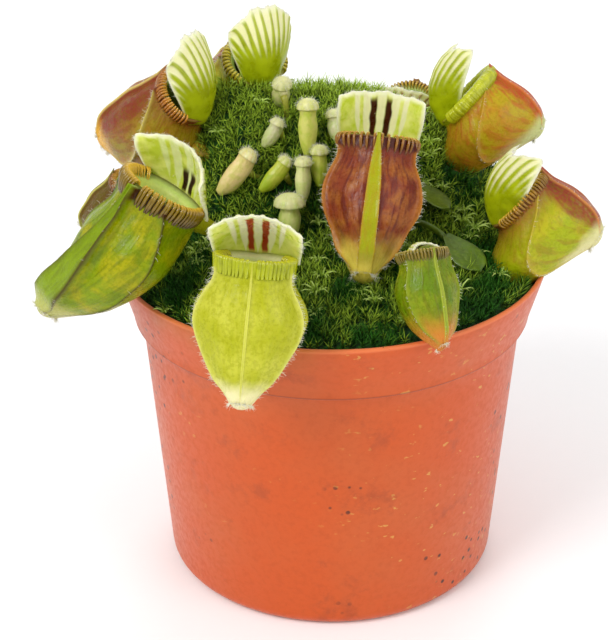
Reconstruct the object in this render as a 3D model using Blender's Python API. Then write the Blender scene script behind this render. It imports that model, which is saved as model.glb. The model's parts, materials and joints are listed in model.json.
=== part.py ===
"""Potted Albany pitcher plant: a round nursery pot, soil, a cushion of moss, a rootstock and its leaves.

Units are metres and +Z is up. The origin is the middle of the flat underside of the pot. The front of
the plant faces -Y. Headings are turned anticlockwise from +X.
"""

import math

import bmesh
import bpy
from mathutils import Matrix, Vector
from mathutils.bvhtree import BVHTree

MM = 0.001
GAP = 0.3 * MM  # clearance between neighbouring solids

# Pot: thin tapered wall with a flared collar
POT_HEIGHT = 63.4 * MM
POT_RIM_RADIUS = 40.0 * MM
POT_BASE_RADIUS = 31.6 * MM
POT_SHOULDER_RADIUS = 35.5 * MM
COLLAR_FOOT_RADIUS = 37.1 * MM
COLLAR_HEIGHT = 11.4 * MM
COLLAR_STEP = 0.6 * MM
RIM_EDGE = 0.3 * MM
POT_WALL = 0.9 * MM
BASE_CORNER = 2.4 * MM
POT_SIDES = 48
DRAIN_HOLES = 5
DRAIN_RADIUS = 3.0 * MM
DRAIN_CIRCLE = 20.0 * MM

# Soil and moss
SOIL_TOP = 56.0 * MM
SOIL_SIDES = 32
MOSS_EDGE_HEIGHT = 61.8 * MM
MOSS_RISE = 31.0 * MM
MOSS_FRONT_SHARE = 0.15
MOSS_SLOPE_START = -10.0 * MM
MOSS_SLOPE_LENGTH = 36.0 * MM
HUMMOCK_CENTRE = (-22.0 * MM, 17.0 * MM)
HUMMOCK_SPREAD = 7.0 * MM
HUMMOCK_RISE = 11.0 * MM
MOSS_SPOKES = 48
MOSS_RINGS = 15
MOSS_CLEARANCE = 0.45 * MM
MOSS_LOWEST = 58.2 * MM
MOSS_HOLE_MARGIN = 1.2 * MM
MOSS_PRESS_REACH = 2.6 * MM

# Crown of the rootstock, where every leaf stalk ends
CROWN = (-4.0 * MM, 12.0 * MM)
CROWN_RADIUS = 3.6 * MM
CROWN_TOP = 81.0 * MM
CROWN_SIDES = 16

# One full-size pitcher, before its own length and size are applied
MOUTH_HALF_WIDTH = 7.2 * MM
MOUTH_HALF_DEPTH = 5.8 * MM
KEEL_HEIGHT = 1.2 * MM
WING_HEIGHT = 1.3 * MM
JUG_WALL = 1.0 * MM
LID_THICKNESS = 0.7 * MM
LID_HALF_WIDTH = 7.6 * MM
LID_CUP = 5.2 * MM
STALK_RADIUS = 0.95 * MM
STALK_ARCH = 2.0 * MM
# Outline of a jug: x (mm), z (share of its length), share of the belly factor that x takes
FRONT_OUTLINE = ((5.8, 0, 0), (5.9, -0.15, 0), (6.9, -0.42, 0), (6.8, -0.74, 0), (5.6, -0.97, 0))
BACK_OUTLINE = ((-5.8, 0, 0), (-6.8, -0.13, 0), (-9.6, -0.40, 1), (-7.2, -0.76, 1), (0.8, -1.03, 0))
HALF_WIDTHS = (7.2, 6.6, 8.2, 5.6, 1.2)
OUTER_DEPTHS = (0.0, 0.11, 0.24, 0.42, 0.62, 0.82, 1.0)
RIM_LIFT = 0.5 * MM
# Rings down the inside of a jug, past the narrow throat: depth, scale, inset in walls
INNER_RINGS = ((0.03, 0.7, 0), (0.17, 0.62, 0), (0.34, 1, 1), (0.56, 1, 1), (0.76, 1, 1))
STALK_LEVEL = 1
LID_SHARES = (0.3, 0.62, 0.88, 1.0)
LID_SIDE_CUT = 0.45
LID_HINGE_WIDTH = 0.58
HALF_COLUMN_DEGREES = (10, 24, 42, 56, 63, 71, 92, 116, 140, 162)
KEEL_DEGREES = 10
WING_DEGREES = 63
LID_FROM_DEGREES = 140
STALK_FROM_DEGREES = 162

# A young pitcher, still shut: share of the mouth at each height (mm at size 1), and depths below
BUD_LID_ROWS = ((7.5, 0.42), (5.7, 0.86), (2.6, 1.16), (0.5, 1.12))
BUD_DEPTHS = (0.12, 0.42, 0.75, 1.0)
BUD_BELLY = 0.6
BUD_WIDTH = 0.86
BUD_STALK_RADIUS = 0.55 * MM

# A flat leaf: share of its length, share of its half width
BLADE_ROWS = ((0.0, 0.35), (0.25, 0.75), (0.5, 1.0), (0.78, 0.82), (1.0, 0.3))
BLADE_THICKNESS = 0.9 * MM
BLADE_DROOP = 0.35
BLADE_STALK_RADIUS = 0.6 * MM

# name, mouth centre (mm), heading, tilt, roll (degrees), length (mm), size, belly, twist (degrees),
# sideways bend of the toe (mm), lid length (mm), lid opening (degrees), lid curl, stalk's place on the crown
PITCHERS = (
    ("pitcher_front_left", (-12.4, -39.9, 80.6), -92, 18, -5, 23.9, 1.00, 0.92, 0, 0, 14, 58, 0.9, (-116, 63)),
    ("pitcher_left", (-28.8, -22.6, 84.7), 232, 25, -16, 29.5, 1.14, 0.92, -15, -7, 14, 62, 1.0, (-150, 69)),
    ("pitcher_left_back", (-26.8, 10.7, 89.6), 156, 49, 1, 21.7, 0.98, 1.2, 0, 0, 17, 66, 0.8, (176, 76)),
    ("pitcher_left_low", (-41.5, -2.0, 74.5), 172, 35, 0, 14.0, 0.66, 1.0, 0, 0, 8, 60, 0.8, (-172, 70)),
    ("pitcher_back", (-14.5, 22.0, 92.2), 125, 45, 0, 19.0, 0.90, 1.0, 0, 0, 16, 78, 0.9, (130, 77)),
    ("pitcher_middle", (8.2, -7.7, 87.9), -90, 29, -6, 24.3, 1.01, 1.0, 0, 0, 14, 80, 0.5, (-8, 76)),
    ("pitcher_front_right", (15.3, -30.5, 77.0), -58, 30, -8, 16.1, 0.63, 1.0, 0, 0, 7, 58, 0.9, (-72, 63)),
    ("pitcher_right_back", (26.3, 13.4, 89.5), 3, 49, -14, 14.2, 0.84, 1.15, 0, 0, 15, 76, 1.3, (10, 71)),
    ("pitcher_right", (34.5, -6.5, 77.1), 0, 50, -10, 15.1, 0.90, 1.35, 0, 0, 14, 74, 1.1, (-40, 67)),
    ("pitcher_back_right", (15.0, 25.0, 82.0), 65, 45, 0, 16.0, 0.80, 1.0, 0, 0, 13, 80, 0.8, (55, 74)),
)

# Point (mm) that pulls a stalk round its neighbours on the way to the crown
STALK_DETOURS = {"pitcher_front_right": (19.0, -16.0, 70.0)}

# name, top centre (mm), heading, tilt, length (mm), size, stalk's place on the crown (degrees, mm)
YOUNG_PITCHERS = (
    ("young_pitcher_1", (-15.5, 3.0, 80.1), 205, 38, 7.6, 0.30, (-140, 76)),
    ("young_pitcher_2", (-8.7, 1.5, 79.6), 205, 40, 5.6, 0.22, (-118, 73)),
    ("young_pitcher_3", (-5.1, -0.2, 80.2), -95, 6, 5.6, 0.25, (-98, 70)),
    ("young_pitcher_4", (-2.2, 2.6, 81.2), -88, 8, 4.6, 0.26, (-76, 73)),
    ("young_pitcher_5", (-4.3, 6.4, 88.5), -92, 8, 7.2, 0.32, (-100, 79)),
    ("young_pitcher_6", (-7.5, -6.0, 74.8), -90, 6, 5.6, 0.36, (-96, 67)),
    ("young_pitcher_7", (-10.1, 8.0, 84.6), 210, 30, 4.0, 0.22, (-165, 78)),
    ("young_pitcher_8", (-9.2, 14.0, 90.0), 110, 20, 5.0, 0.30, (140, 79.3)),
    ("young_pitcher_9", (0.5, 9.0, 85.8), -70, 20, 4.6, 0.24, (-40, 79.3)),
)

# name, tip (mm), heading, length, half width (mm), stalk's place on the crown (degrees, mm)
FLAT_LEAVES = (
    ("flat_leaf_1", (21.5, -3.0, 72.5), -35, 9.0, 2.6, (-22, 70)),
    ("flat_leaf_2", (26.5, -16.5, 66.6), -50, 10.0, 3.4, (-56, 65.5)),
)


# ---------------------------------------------------------------- small helpers
def clear_scene():
    for obj in list(bpy.data.objects):
        bpy.data.objects.remove(obj, do_unlink=True)


def smoothstep(value):
    value = min(max(value, 0.0), 1.0)
    return value * value * (3.0 - 2.0 * value)


def spline(points, share):
    """A point on the smooth curve through points, share running from 0 to 1."""
    last = len(points) - 1
    place = min(max(share, 0.0), 1.0) * last
    index = min(int(place), last - 1)
    local = place - index
    before = points[index - 1] if index > 0 else points[0] * 2 - points[1]
    after = points[index + 2] if index + 2 <= last else points[last] * 2 - points[last - 1]
    start, end = points[index], points[index + 1]
    return (
        start * 2
        + (end - before) * local
        + (before * 2 - start * 5 + end * 4 - after) * local**2
        + (start * 3 - before - end * 3 + after) * local**3
    ) * 0.5


def material(name, colour, roughness):
    found = bpy.data.materials.get(name)
    if found:
        return found
    made = bpy.data.materials.new(name)
    made.use_nodes = True
    shader = made.node_tree.nodes["Principled BSDF"]
    shader.inputs["Base Color"].default_value = (*colour, 1.0)
    shader.inputs["Roughness"].default_value = roughness
    shader.inputs["Metallic"].default_value = 0.0
    return made


def object_from(bm, name, surface):
    bmesh.ops.remove_doubles(bm, verts=bm.verts, dist=0.00001)
    bmesh.ops.recalc_face_normals(bm, faces=bm.faces)
    mesh = bpy.data.meshes.new(name)
    bm.to_mesh(mesh)
    bm.free()
    mesh.materials.append(surface)
    obj = bpy.data.objects.new(name, mesh)
    bpy.context.collection.objects.link(obj)
    mesh.shade_smooth()
    mesh.set_sharp_from_angle(angle=math.radians(35))
    return obj


def bridge(bm, lower, upper, closed=True):
    """Quads between two rows of vertices of the same length."""
    count = len(lower)
    for i in range(count if closed else count - 1):
        j = (i + 1) % count
        bm.faces.new((lower[i], lower[j], upper[j], upper[i]))


def turned_solid(name, outline, sides, surface):
    """A solid of revolution whose outline runs from axis to axis."""
    bm = bmesh.new()
    rows = []
    for radius, height in outline:
        if radius < 0.01 * MM:
            rows.append([bm.verts.new((0, 0, height))])
            continue
        rows.append(
            [
                bm.verts.new((radius * math.cos(a), radius * math.sin(a), height))
                for a in (2 * math.pi * k / sides for k in range(sides))
            ]
        )
    for lower, upper in zip(rows, rows[1:]):
        if len(lower) == 1:
            for i in range(sides):
                bm.faces.new((lower[0], upper[i], upper[(i + 1) % sides]))
        elif len(upper) == 1:
            for i in range(sides):
                bm.faces.new((lower[i], lower[(i + 1) % sides], upper[0]))
        else:
            bridge(bm, lower, upper)
    return object_from(bm, name, surface)


# ---------------------------------------------------------------- pot, soil, rootstock
def make_pot():
    collar_foot = POT_HEIGHT - COLLAR_HEIGHT
    corner = [
        (
            POT_BASE_RADIUS - BASE_CORNER * (1 - math.sin(a)),
            BASE_CORNER * (1 - math.cos(a)),
        )
        for a in (math.radians(step) for step in (0, 30, 60, 90))
    ]
    outer = [
        *corner,
        (POT_SHOULDER_RADIUS, collar_foot - COLLAR_STEP),
        (COLLAR_FOOT_RADIUS - COLLAR_STEP, collar_foot),
        (COLLAR_FOOT_RADIUS, collar_foot + COLLAR_STEP),
        (POT_RIM_RADIUS, POT_HEIGHT - RIM_EDGE),
        (POT_RIM_RADIUS - RIM_EDGE, POT_HEIGHT),
    ]
    inner = [
        (POT_RIM_RADIUS - POT_WALL, POT_HEIGHT),
        (COLLAR_FOOT_RADIUS - POT_WALL, collar_foot + POT_WALL + COLLAR_STEP),
        (POT_SHOULDER_RADIUS - POT_WALL, collar_foot + POT_WALL),
        (POT_BASE_RADIUS - POT_WALL, BASE_CORNER),
        (POT_BASE_RADIUS - BASE_CORNER, POT_WALL),
    ]
    surface = material("terracotta_plastic", (0.62, 0.13, 0.045), 0.45)
    pot = turned_solid("pot", [(0, 0), *outer, *inner, (0, POT_WALL)], POT_SIDES, surface)
    drill = bmesh.new()
    for hole in range(DRAIN_HOLES):
        angle = 2 * math.pi * hole / DRAIN_HOLES
        place = Matrix.Translation((DRAIN_CIRCLE * math.cos(angle), DRAIN_CIRCLE * math.sin(angle), 0))
        bmesh.ops.create_cone(
            drill, cap_ends=True, segments=12, radius1=DRAIN_RADIUS, radius2=DRAIN_RADIUS,
            depth=4 * POT_WALL, matrix=place,
        )
    cutter = object_from(drill, "drain_hole_cutter", surface)
    cutter.hide_render = True
    cutter.display_type = "WIRE"
    cut = pot.modifiers.new("drain_holes", "BOOLEAN")
    cut.operation = "DIFFERENCE"
    cut.solver = "EXACT"
    cut.object = cutter
    return pot


def inner_radius(height):
    """Inside radius of the pot at a height above its step."""
    foot = POT_HEIGHT - COLLAR_HEIGHT + POT_WALL + COLLAR_STEP
    if height < foot:
        return POT_SHOULDER_RADIUS - POT_WALL
    share = (height - foot) / (POT_HEIGHT - foot)
    low, high = COLLAR_FOOT_RADIUS - POT_WALL, POT_RIM_RADIUS - POT_WALL
    return low + (high - low) * share


def make_soil():
    step = POT_HEIGHT - COLLAR_HEIGHT
    low = POT_BASE_RADIUS - POT_WALL - GAP
    outline = [
        (0, POT_WALL + GAP),
        (POT_BASE_RADIUS - BASE_CORNER - GAP, POT_WALL + GAP),
        (low, BASE_CORNER + GAP),
        (POT_SHOULDER_RADIUS - POT_WALL - GAP, step + POT_WALL),
        (inner_radius(SOIL_TOP) - 2 * GAP, SOIL_TOP),
        (0, SOIL_TOP),
    ]
    return turned_solid("soil", outline, SOIL_SIDES, material("soil", (0.035, 0.022, 0.014), 0.95))


def make_rootstock():
    base = SOIL_TOP + GAP
    outline = [
        (0, base),
        (CROWN_RADIUS * 0.9, base),
        (CROWN_RADIUS, base + 4 * MM),
        (CROWN_RADIUS, CROWN_TOP - 2.4 * MM),
        (CROWN_RADIUS * 0.82, CROWN_TOP - 0.8 * MM),
        (CROWN_RADIUS * 0.45, CROWN_TOP),
        (0, CROWN_TOP),
    ]
    surface = material("rootstock", (0.12, 0.06, 0.03), 0.8)
    rootstock = turned_solid("rootstock", outline, CROWN_SIDES, surface)
    rootstock.location = (*CROWN, 0)
    return rootstock


# ---------------------------------------------------------------- moss
def moss_height(x, y):
    """Free height of the moss cushion: low at the front, high at the back, with one hummock."""
    reach = min(math.hypot(x, y) / inner_radius(MOSS_EDGE_HEIGHT), 1.0)
    dome = (1.0 - reach**2.6) ** 0.75
    slope = smoothstep((y - MOSS_SLOPE_START) / MOSS_SLOPE_LENGTH)
    rise = MOSS_RISE * (MOSS_FRONT_SHARE + (1 - MOSS_FRONT_SHARE) * slope)
    away = math.hypot(x - HUMMOCK_CENTRE[0], y - HUMMOCK_CENTRE[1]) / HUMMOCK_SPREAD
    return MOSS_EDGE_HEIGHT + dome * (rise + HUMMOCK_RISE * math.exp(-0.5 * away**2))


def lowest_above(tree, x, y):
    """Height of the lowest leaf surface over a spot, or None."""
    hit = tree.ray_cast(Vector((x, y, 0.0)), Vector((0, 0, 1)))
    return hit[0].z if hit[0] is not None else None


def pressed_height(trees, x, y, reach):
    """Moss height at a spot, pressed down under every leaf within reach."""
    height = moss_height(x, y)
    spots = [(x, y)]
    for ring in (0.5, 1.0):
        for step in range(12):
            angle = math.radians(30 * step)
            spots.append((x + ring * reach * math.cos(angle), y + ring * reach * math.sin(angle)))
    for tree in trees:
        for spot in spots:
            low = lowest_above(tree, *spot)
            if low is not None:
                height = min(height, low - MOSS_CLEARANCE)
    return max(height, MOSS_LOWEST)


def make_moss(leaves):
    """A ring of moss round the rootstock that yields where leaves lie on it."""
    trees = []
    for leaf in leaves:
        bm = bmesh.new()
        bm.from_mesh(leaf.data)
        trees.append(BVHTree.FromBMesh(bm))
        bm.free()
    bottom = SOIL_TOP + GAP
    hole = CROWN_RADIUS + MOSS_HOLE_MARGIN
    rim_top = inner_radius(MOSS_EDGE_HEIGHT) - GAP
    rim_bottom = inner_radius(bottom) - GAP
    bm = bmesh.new()
    rings = []
    for ring in range(MOSS_RINGS + 1):
        share = ring / MOSS_RINGS
        row = []
        for spoke in range(MOSS_SPOKES):
            angle = 2 * math.pi * spoke / MOSS_SPOKES
            start = Vector((CROWN[0] + hole * math.cos(angle), CROWN[1] + hole * math.sin(angle)))
            end = Vector((rim_top * math.cos(angle), rim_top * math.sin(angle)))
            spot = start.lerp(end, share)
            reach = max((end - start).length / MOSS_RINGS, MOSS_PRESS_REACH)
            height = pressed_height(trees, spot.x, spot.y, reach)
            spot *= min(1.0, (inner_radius(height) - GAP) / spot.length)
            row.append(bm.verts.new((spot.x, spot.y, height)))
        rings.append(row)
    foot_outer = [
        bm.verts.new((rim_bottom * math.cos(a), rim_bottom * math.sin(a), bottom))
        for a in (2 * math.pi * k / MOSS_SPOKES for k in range(MOSS_SPOKES))
    ]
    foot_inner = [bm.verts.new((vert.co.x, vert.co.y, bottom)) for vert in rings[0]]
    for inner, outer in zip(rings, rings[1:]):
        bridge(bm, inner, outer)
    bridge(bm, rings[-1], foot_outer)
    bridge(bm, foot_outer, foot_inner)
    bridge(bm, foot_inner, rings[0])
    return object_from(bm, "moss", material("moss", (0.03, 0.09, 0.012), 0.9))


# ---------------------------------------------------------------- pitchers
def columns():
    """Angles round a jug, from its front keel to the back and round to the front again."""
    left = [-degrees for degrees in reversed(HALF_COLUMN_DEGREES)]
    return [0, *HALF_COLUMN_DEGREES, 180, *left]


def leaf_frame(mouth, heading, tilt, roll):
    """Matrix from a pitcher's own axes (front, side, out of the mouth) to the world."""
    h, t, r = (math.radians(v) for v in (heading, tilt, roll))
    out = Vector((math.cos(h), math.sin(h), 0))
    side = Vector((-math.sin(h), math.cos(h), 0))
    up = Vector((0, 0, 1))
    front = out * math.cos(t) + up * math.sin(t)
    lift = up * math.cos(t) - out * math.sin(t)
    across = side * math.cos(r) + lift * math.sin(r)
    above = lift * math.cos(r) - side * math.sin(r)
    turn = Matrix((front, across, above)).transposed().to_4x4()
    return Matrix.Translation(mouth) @ turn


def jug_section(depth, length, size, belly):
    """Front point, back point and half width of a jug at a depth from 0 (mouth) to 1 (toe)."""
    front, back = (
        [Vector((x * MM * size * (1 + (belly - 1) * share), z * length)) for x, z, share in outline]
        for outline in (FRONT_OUTLINE, BACK_OUTLINE)
    )
    widths = [Vector((w * MM * size, 0)) for w in HALF_WIDTHS]
    return spline(front, depth), spline(back, depth), spline(widths, depth).x


def warped(point, length, twist, bend):
    """Turns and shifts a section of the jug more and more towards its toe."""
    share = min(max(-point.z / length, 0.0), 1.1)
    angle = math.radians(twist) * share
    return Vector(
        (
            point.x * math.cos(angle) - point.y * math.sin(angle),
            point.x * math.sin(angle) + point.y * math.cos(angle) + bend * share**2.6,
            point.z,
        )
    )


def jug_ring(depth, shape, inset=0.0, scale=1.0, ridges=1.0, raise_by=0.0):
    """One ring of a jug's wall. Inset moves it inwards, scale shrinks it about its middle."""
    length, size, belly, twist, bend = shape
    front, back, half_width = jug_section(depth, length, size, belly)
    centre = (front + back) / 2
    reach = (front - back) / 2
    half_depth = reach.length
    along = reach.normalized()
    fade = min(depth * 6, 1.0) * min((1 - depth) * 5 + 0.25, 1.0) * ridges
    ring = []
    for degrees in columns():
        angle = math.radians(degrees)
        ridge = 0.0
        if abs(degrees) == KEEL_DEGREES:
            ridge = KEEL_HEIGHT * size * fade
        elif abs(degrees) == WING_DEGREES:
            ridge = WING_HEIGHT * size * fade
        deep = (half_depth * scale - inset) * math.cos(angle)
        wide = (half_width * scale - inset) * math.sin(angle)
        outward = Vector((math.cos(angle) / half_depth, math.sin(angle) / half_width)).normalized()
        deep += outward.x * ridge
        wide += outward.y * ridge
        spot = centre + along * deep
        ring.append(warped(Vector((spot.x, wide, spot.y + raise_by)), length, twist, bend))
    return ring


def lid_point(share, side, lid_length, opening, curl, size):
    """A point of the hood that hinges on the back of the mouth."""
    along = lid_length * share * (1 - LID_SIDE_CUT * abs(side) ** 2.6 * (0.2 + 0.8 * share))
    spread = math.sin(min(share * 1.5, 1) * math.pi / 2)
    lateral = LID_HALF_WIDTH * size * side * (LID_HINGE_WIDTH + (1 - LID_HINGE_WIDTH) * spread)
    bend = curl * along / lid_length
    rise = math.sin(bend) * lid_length / curl
    forward = (1 - math.cos(bend)) * lid_length / curl + LID_CUP * size * side**2 * (0.2 + 0.8 * share)
    turn = math.radians(90 - opening)
    return Vector(
        (
            forward * math.cos(turn) + rise * math.sin(turn) - MOUTH_HALF_DEPTH * size,
            lateral,
            rise * math.cos(turn) - forward * math.sin(turn),
        )
    )


def lid_rows(lid_length, opening, curl, size, sides):
    """Outer and inner rows of points of a lid, from just above the hinge to its edge."""
    outer, inner = [], []
    step = 0.01
    for share in LID_SHARES:
        outer_row, inner_row = [], []
        for side in sides:
            here = lid_point(share, side, lid_length, opening, curl, size)
            onward = lid_point(share + step, side, lid_length, opening, curl, size) - here
            across = lid_point(share, side + step, lid_length, opening, curl, size) - here
            normal = onward.cross(across).normalized() * (LID_THICKNESS / 2)
            outer_row.append(here + normal)
            inner_row.append(here - normal)
        outer.append(outer_row)
        inner.append(inner_row)
    return outer, inner


def crown_end(place):
    """Where a stalk stops beside the rootstock: a point and the direction towards the crown."""
    degrees, height = place
    angle = math.radians(degrees)
    outward = Vector((math.cos(angle), math.sin(angle), 0))
    reach = CROWN_RADIUS + GAP
    point = Vector((CROWN[0], CROWN[1], height * MM)) + outward * reach
    return point, -outward


def add_stalk(bm, loop, start, start_way, place, radius, lift, detour=None):
    """A stalk from a loop of vertices on a leaf to its place beside the rootstock, with a flat end."""
    end, end_way = crown_end(place)
    span = (end - start).length
    first = start + start_way * span * 0.35 + Vector((0, 0, lift))
    if detour:
        first = Vector(detour) * MM
    last = end - end_way * span * 0.35 + Vector((0, 0, lift * 0.4))
    steps = 6
    sides = len(loop)

    def on_path(t):
        return (
            start * (1 - t) ** 3 + first * 3 * t * (1 - t) ** 2 + last * 3 * t**2 * (1 - t) + end * t**3
        )

    centre = sum((v.co for v in loop), Vector()) / sides
    guide = (loop[0].co - centre).normalized()
    spin = 1.0
    way = (on_path(0.02) - start).normalized()
    across = guide.cross(way)
    if (loop[1].co - centre).dot(across) < 0:
        spin = -1.0
    previous = loop
    for step in range(1, steps + 1):
        t = step / steps
        here = on_path(t)
        way = end_way if step == steps else (on_path(min(t + 0.02, 1)) - on_path(t - 0.02)).normalized()
        guide = (guide - way * guide.dot(way)).normalized()
        across = guide.cross(way)
        ring = []
        for k in range(sides):
            angle = 2 * math.pi * k / sides
            offset = guide * math.cos(angle) + across * math.sin(angle) * spin
            ring.append(bm.verts.new(here + offset * radius))
        bridge(bm, previous, ring)
        previous = ring
    bm.faces.new(previous)


def make_pitcher(row, surface):
    """One leaf in one piece: a hollow keeled jug, its hood and its stalk."""
    (name, mouth, heading, tilt, roll, length, size, belly, twist, bend,
     lid_length, opening, curl, place) = row
    length *= MM
    lid_length *= MM
    shape = (length, size, belly, twist, bend * MM)
    frame = leaf_frame(Vector(mouth) * MM, heading, tilt, roll)
    angles = columns()
    count = len(angles)
    bm = bmesh.new()

    def row_of(points):
        return [bm.verts.new(frame @ point) for point in points]

    outer = [row_of(jug_ring(depth, shape)) for depth in OUTER_DEPTHS]
    wall = JUG_WALL * size
    inner = [row_of(jug_ring(0.0, shape, inset=wall, ridges=0, raise_by=RIM_LIFT * size))]
    for depth, scale, walls in INNER_RINGS:
        inner.append(row_of(jug_ring(depth, shape, inset=walls * wall, scale=scale, ridges=0)))
    stalk_columns = [i for i, a in enumerate(angles) if abs(a) >= STALK_FROM_DEGREES]
    stalk_faces = set(stalk_columns[:-1])
    for level, (upper, lower) in enumerate(zip(outer, outer[1:])):
        for i in range(count):
            if level == STALK_LEVEL and i in stalk_faces:
                continue
            j = (i + 1) % count
            bm.faces.new((upper[i], upper[j], lower[j], lower[i]))
    bm.faces.new(outer[-1])
    for upper, lower in zip(inner, inner[1:]):
        bridge(bm, lower, upper)
    bm.faces.new(inner[-1])

    lid_columns = [i for i, a in enumerate(angles) if abs(a) >= LID_FROM_DEGREES]
    for i in range(count):
        if i not in lid_columns[:-1]:
            j = (i + 1) % count
            bm.faces.new((inner[0][i], inner[0][j], outer[0][j], outer[0][i]))
    last = len(lid_columns) - 1
    sides = [1 - 2 * k / last for k in range(last + 1)]
    outer_points, inner_points = lid_rows(lid_length, opening, curl, size, sides)
    lid_outer = [[outer[0][i] for i in lid_columns]] + [row_of(points) for points in outer_points]
    lid_inner = [[inner[0][i] for i in lid_columns]] + [row_of(points) for points in inner_points]
    for grid in (lid_outer, lid_inner):
        for lower, upper in zip(grid, grid[1:]):
            bridge(bm, lower, upper, closed=False)
    bridge(bm, lid_outer[-1], lid_inner[-1], closed=False)
    for edge in (0, -1):
        for (low_out, low_in), (high_out, high_in) in zip(
            zip(lid_outer, lid_inner), zip(lid_outer[1:], lid_inner[1:])
        ):
            bm.faces.new((low_out[edge], high_out[edge], high_in[edge], low_in[edge]))

    upper, lower = outer[STALK_LEVEL], outer[STALK_LEVEL + 1]
    loop = [upper[i] for i in stalk_columns] + [lower[i] for i in reversed(stalk_columns)]
    start = sum((v.co for v in loop), Vector()) / len(loop)
    backwards = (frame.to_3x3() @ Vector((-1, 0, 0.25))).normalized()
    radius = STALK_RADIUS * max(size, 0.75)
    add_stalk(bm, loop, start, backwards, place, radius, STALK_ARCH, STALK_DETOURS.get(name))
    return object_from(bm, name, surface)


def make_young_pitcher(row, surface):
    """A small pitcher whose lid is still shut: one solid bud on a stalk."""
    name, top, heading, tilt, length, size, place = row
    length *= MM
    frame = leaf_frame(Vector(top) * MM, heading, tilt, 0)
    angles = [math.radians(a) for a in range(0, 360, 36)]
    bm = bmesh.new()

    def ring(centre, half_depth, half_width):
        return [
            bm.verts.new(
                frame @ Vector((centre.x + half_depth * math.cos(a), half_width * math.sin(a), centre.y))
            )
            for a in angles
        ]

    rows = []
    for height, share in BUD_LID_ROWS:
        centre = Vector((0, height * MM * size))
        rows.append(ring(centre, MOUTH_HALF_DEPTH * size * share, MOUTH_HALF_WIDTH * size * share))
    for depth in BUD_DEPTHS:
        front, back, half_width = jug_section(depth, length, size, BUD_BELLY)
        rows.append(ring((front + back) / 2, (front - back).length / 2, half_width * BUD_WIDTH))
    for number, (upper, lower) in enumerate(zip(rows, rows[1:])):
        for i in range(len(angles)):
            if number == 3 and i in (4, 5):
                continue
            j = (i + 1) % len(angles)
            bm.faces.new((upper[i], upper[j], lower[j], lower[i]))
    bm.faces.new(rows[0])
    bm.faces.new(rows[-1])
    loop = [rows[3][i] for i in (4, 5, 6)] + [rows[4][i] for i in (6, 5, 4)]
    start = sum((v.co for v in loop), Vector()) / len(loop)
    backwards = (frame.to_3x3() @ Vector((-1, 0, -0.4))).normalized()
    add_stalk(bm, loop, start, backwards, place, BUD_STALK_RADIUS, 0.0)
    return object_from(bm, name, surface)


def make_flat_leaf(row, surface):
    """A plain spoon-shaped leaf: a thin blade on a stalk."""
    name, tip, heading, length, half_width, place = row
    angle = math.radians(heading)
    out = Vector((math.cos(angle), math.sin(angle), -BLADE_DROOP)).normalized()
    side = Vector((-math.sin(angle), math.cos(angle), 0))
    lift = out.cross(side) * BLADE_THICKNESS / 2
    bm = bmesh.new()
    rows = []
    for share, width in BLADE_ROWS:
        centre = Vector(tip) * MM - out * (1 - share) * length * MM
        spread = side * half_width * MM * width
        rows.append(
            [
                bm.verts.new(centre + spread),
                bm.verts.new(centre + spread * 0.5 + lift),
                bm.verts.new(centre - spread * 0.5 + lift),
                bm.verts.new(centre - spread),
                bm.verts.new(centre - spread * 0.5 - lift),
                bm.verts.new(centre + spread * 0.5 - lift),
            ]
        )
    for lower, upper in zip(rows, rows[1:]):
        bridge(bm, lower, upper)
    bm.faces.new(rows[-1])
    start = Vector(tip) * MM - out * length * MM
    add_stalk(bm, rows[0], start, -out, place, BLADE_STALK_RADIUS, STALK_ARCH / 2)
    return object_from(bm, name, surface)


def main():
    clear_scene()
    make_pot()
    make_soil()
    make_rootstock()
    green = material("green_pitcher", (0.36, 0.42, 0.02), 0.4)
    red = material("red_pitcher", (0.28, 0.05, 0.02), 0.4)
    pale = material("young_pitcher", (0.62, 0.60, 0.20), 0.5)
    olive = material("flat_leaf", (0.22, 0.27, 0.03), 0.5)
    red_names = ("pitcher_middle", "pitcher_left_back", "pitcher_left_low")
    leaves = [make_pitcher(row, red if row[0] in red_names else green) for row in PITCHERS]
    leaves += [make_young_pitcher(row, pale) for row in YOUNG_PITCHERS]
    leaves += [make_flat_leaf(row, olive) for row in FLAT_LEAVES]
    make_moss(leaves)


main()
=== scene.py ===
"""Looks of a potted Albany pitcher plant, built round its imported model.

Lengths in the tables are in millimetres and become metres where a mesh is made. +Z is up and the front of
the plant faces -Y. A leaf's own axes are front (out of its keel), side, and out of its mouth. On a jug, depth
runs from 0 at the mouth to 1 at the toe. On a lid, share runs from 0 at the hinge to 1 at the edge.
"""

import json
import math
from typing import NamedTuple

import bpy
import numpy as np
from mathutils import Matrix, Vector
from mathutils.bvhtree import BVHTree

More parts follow.
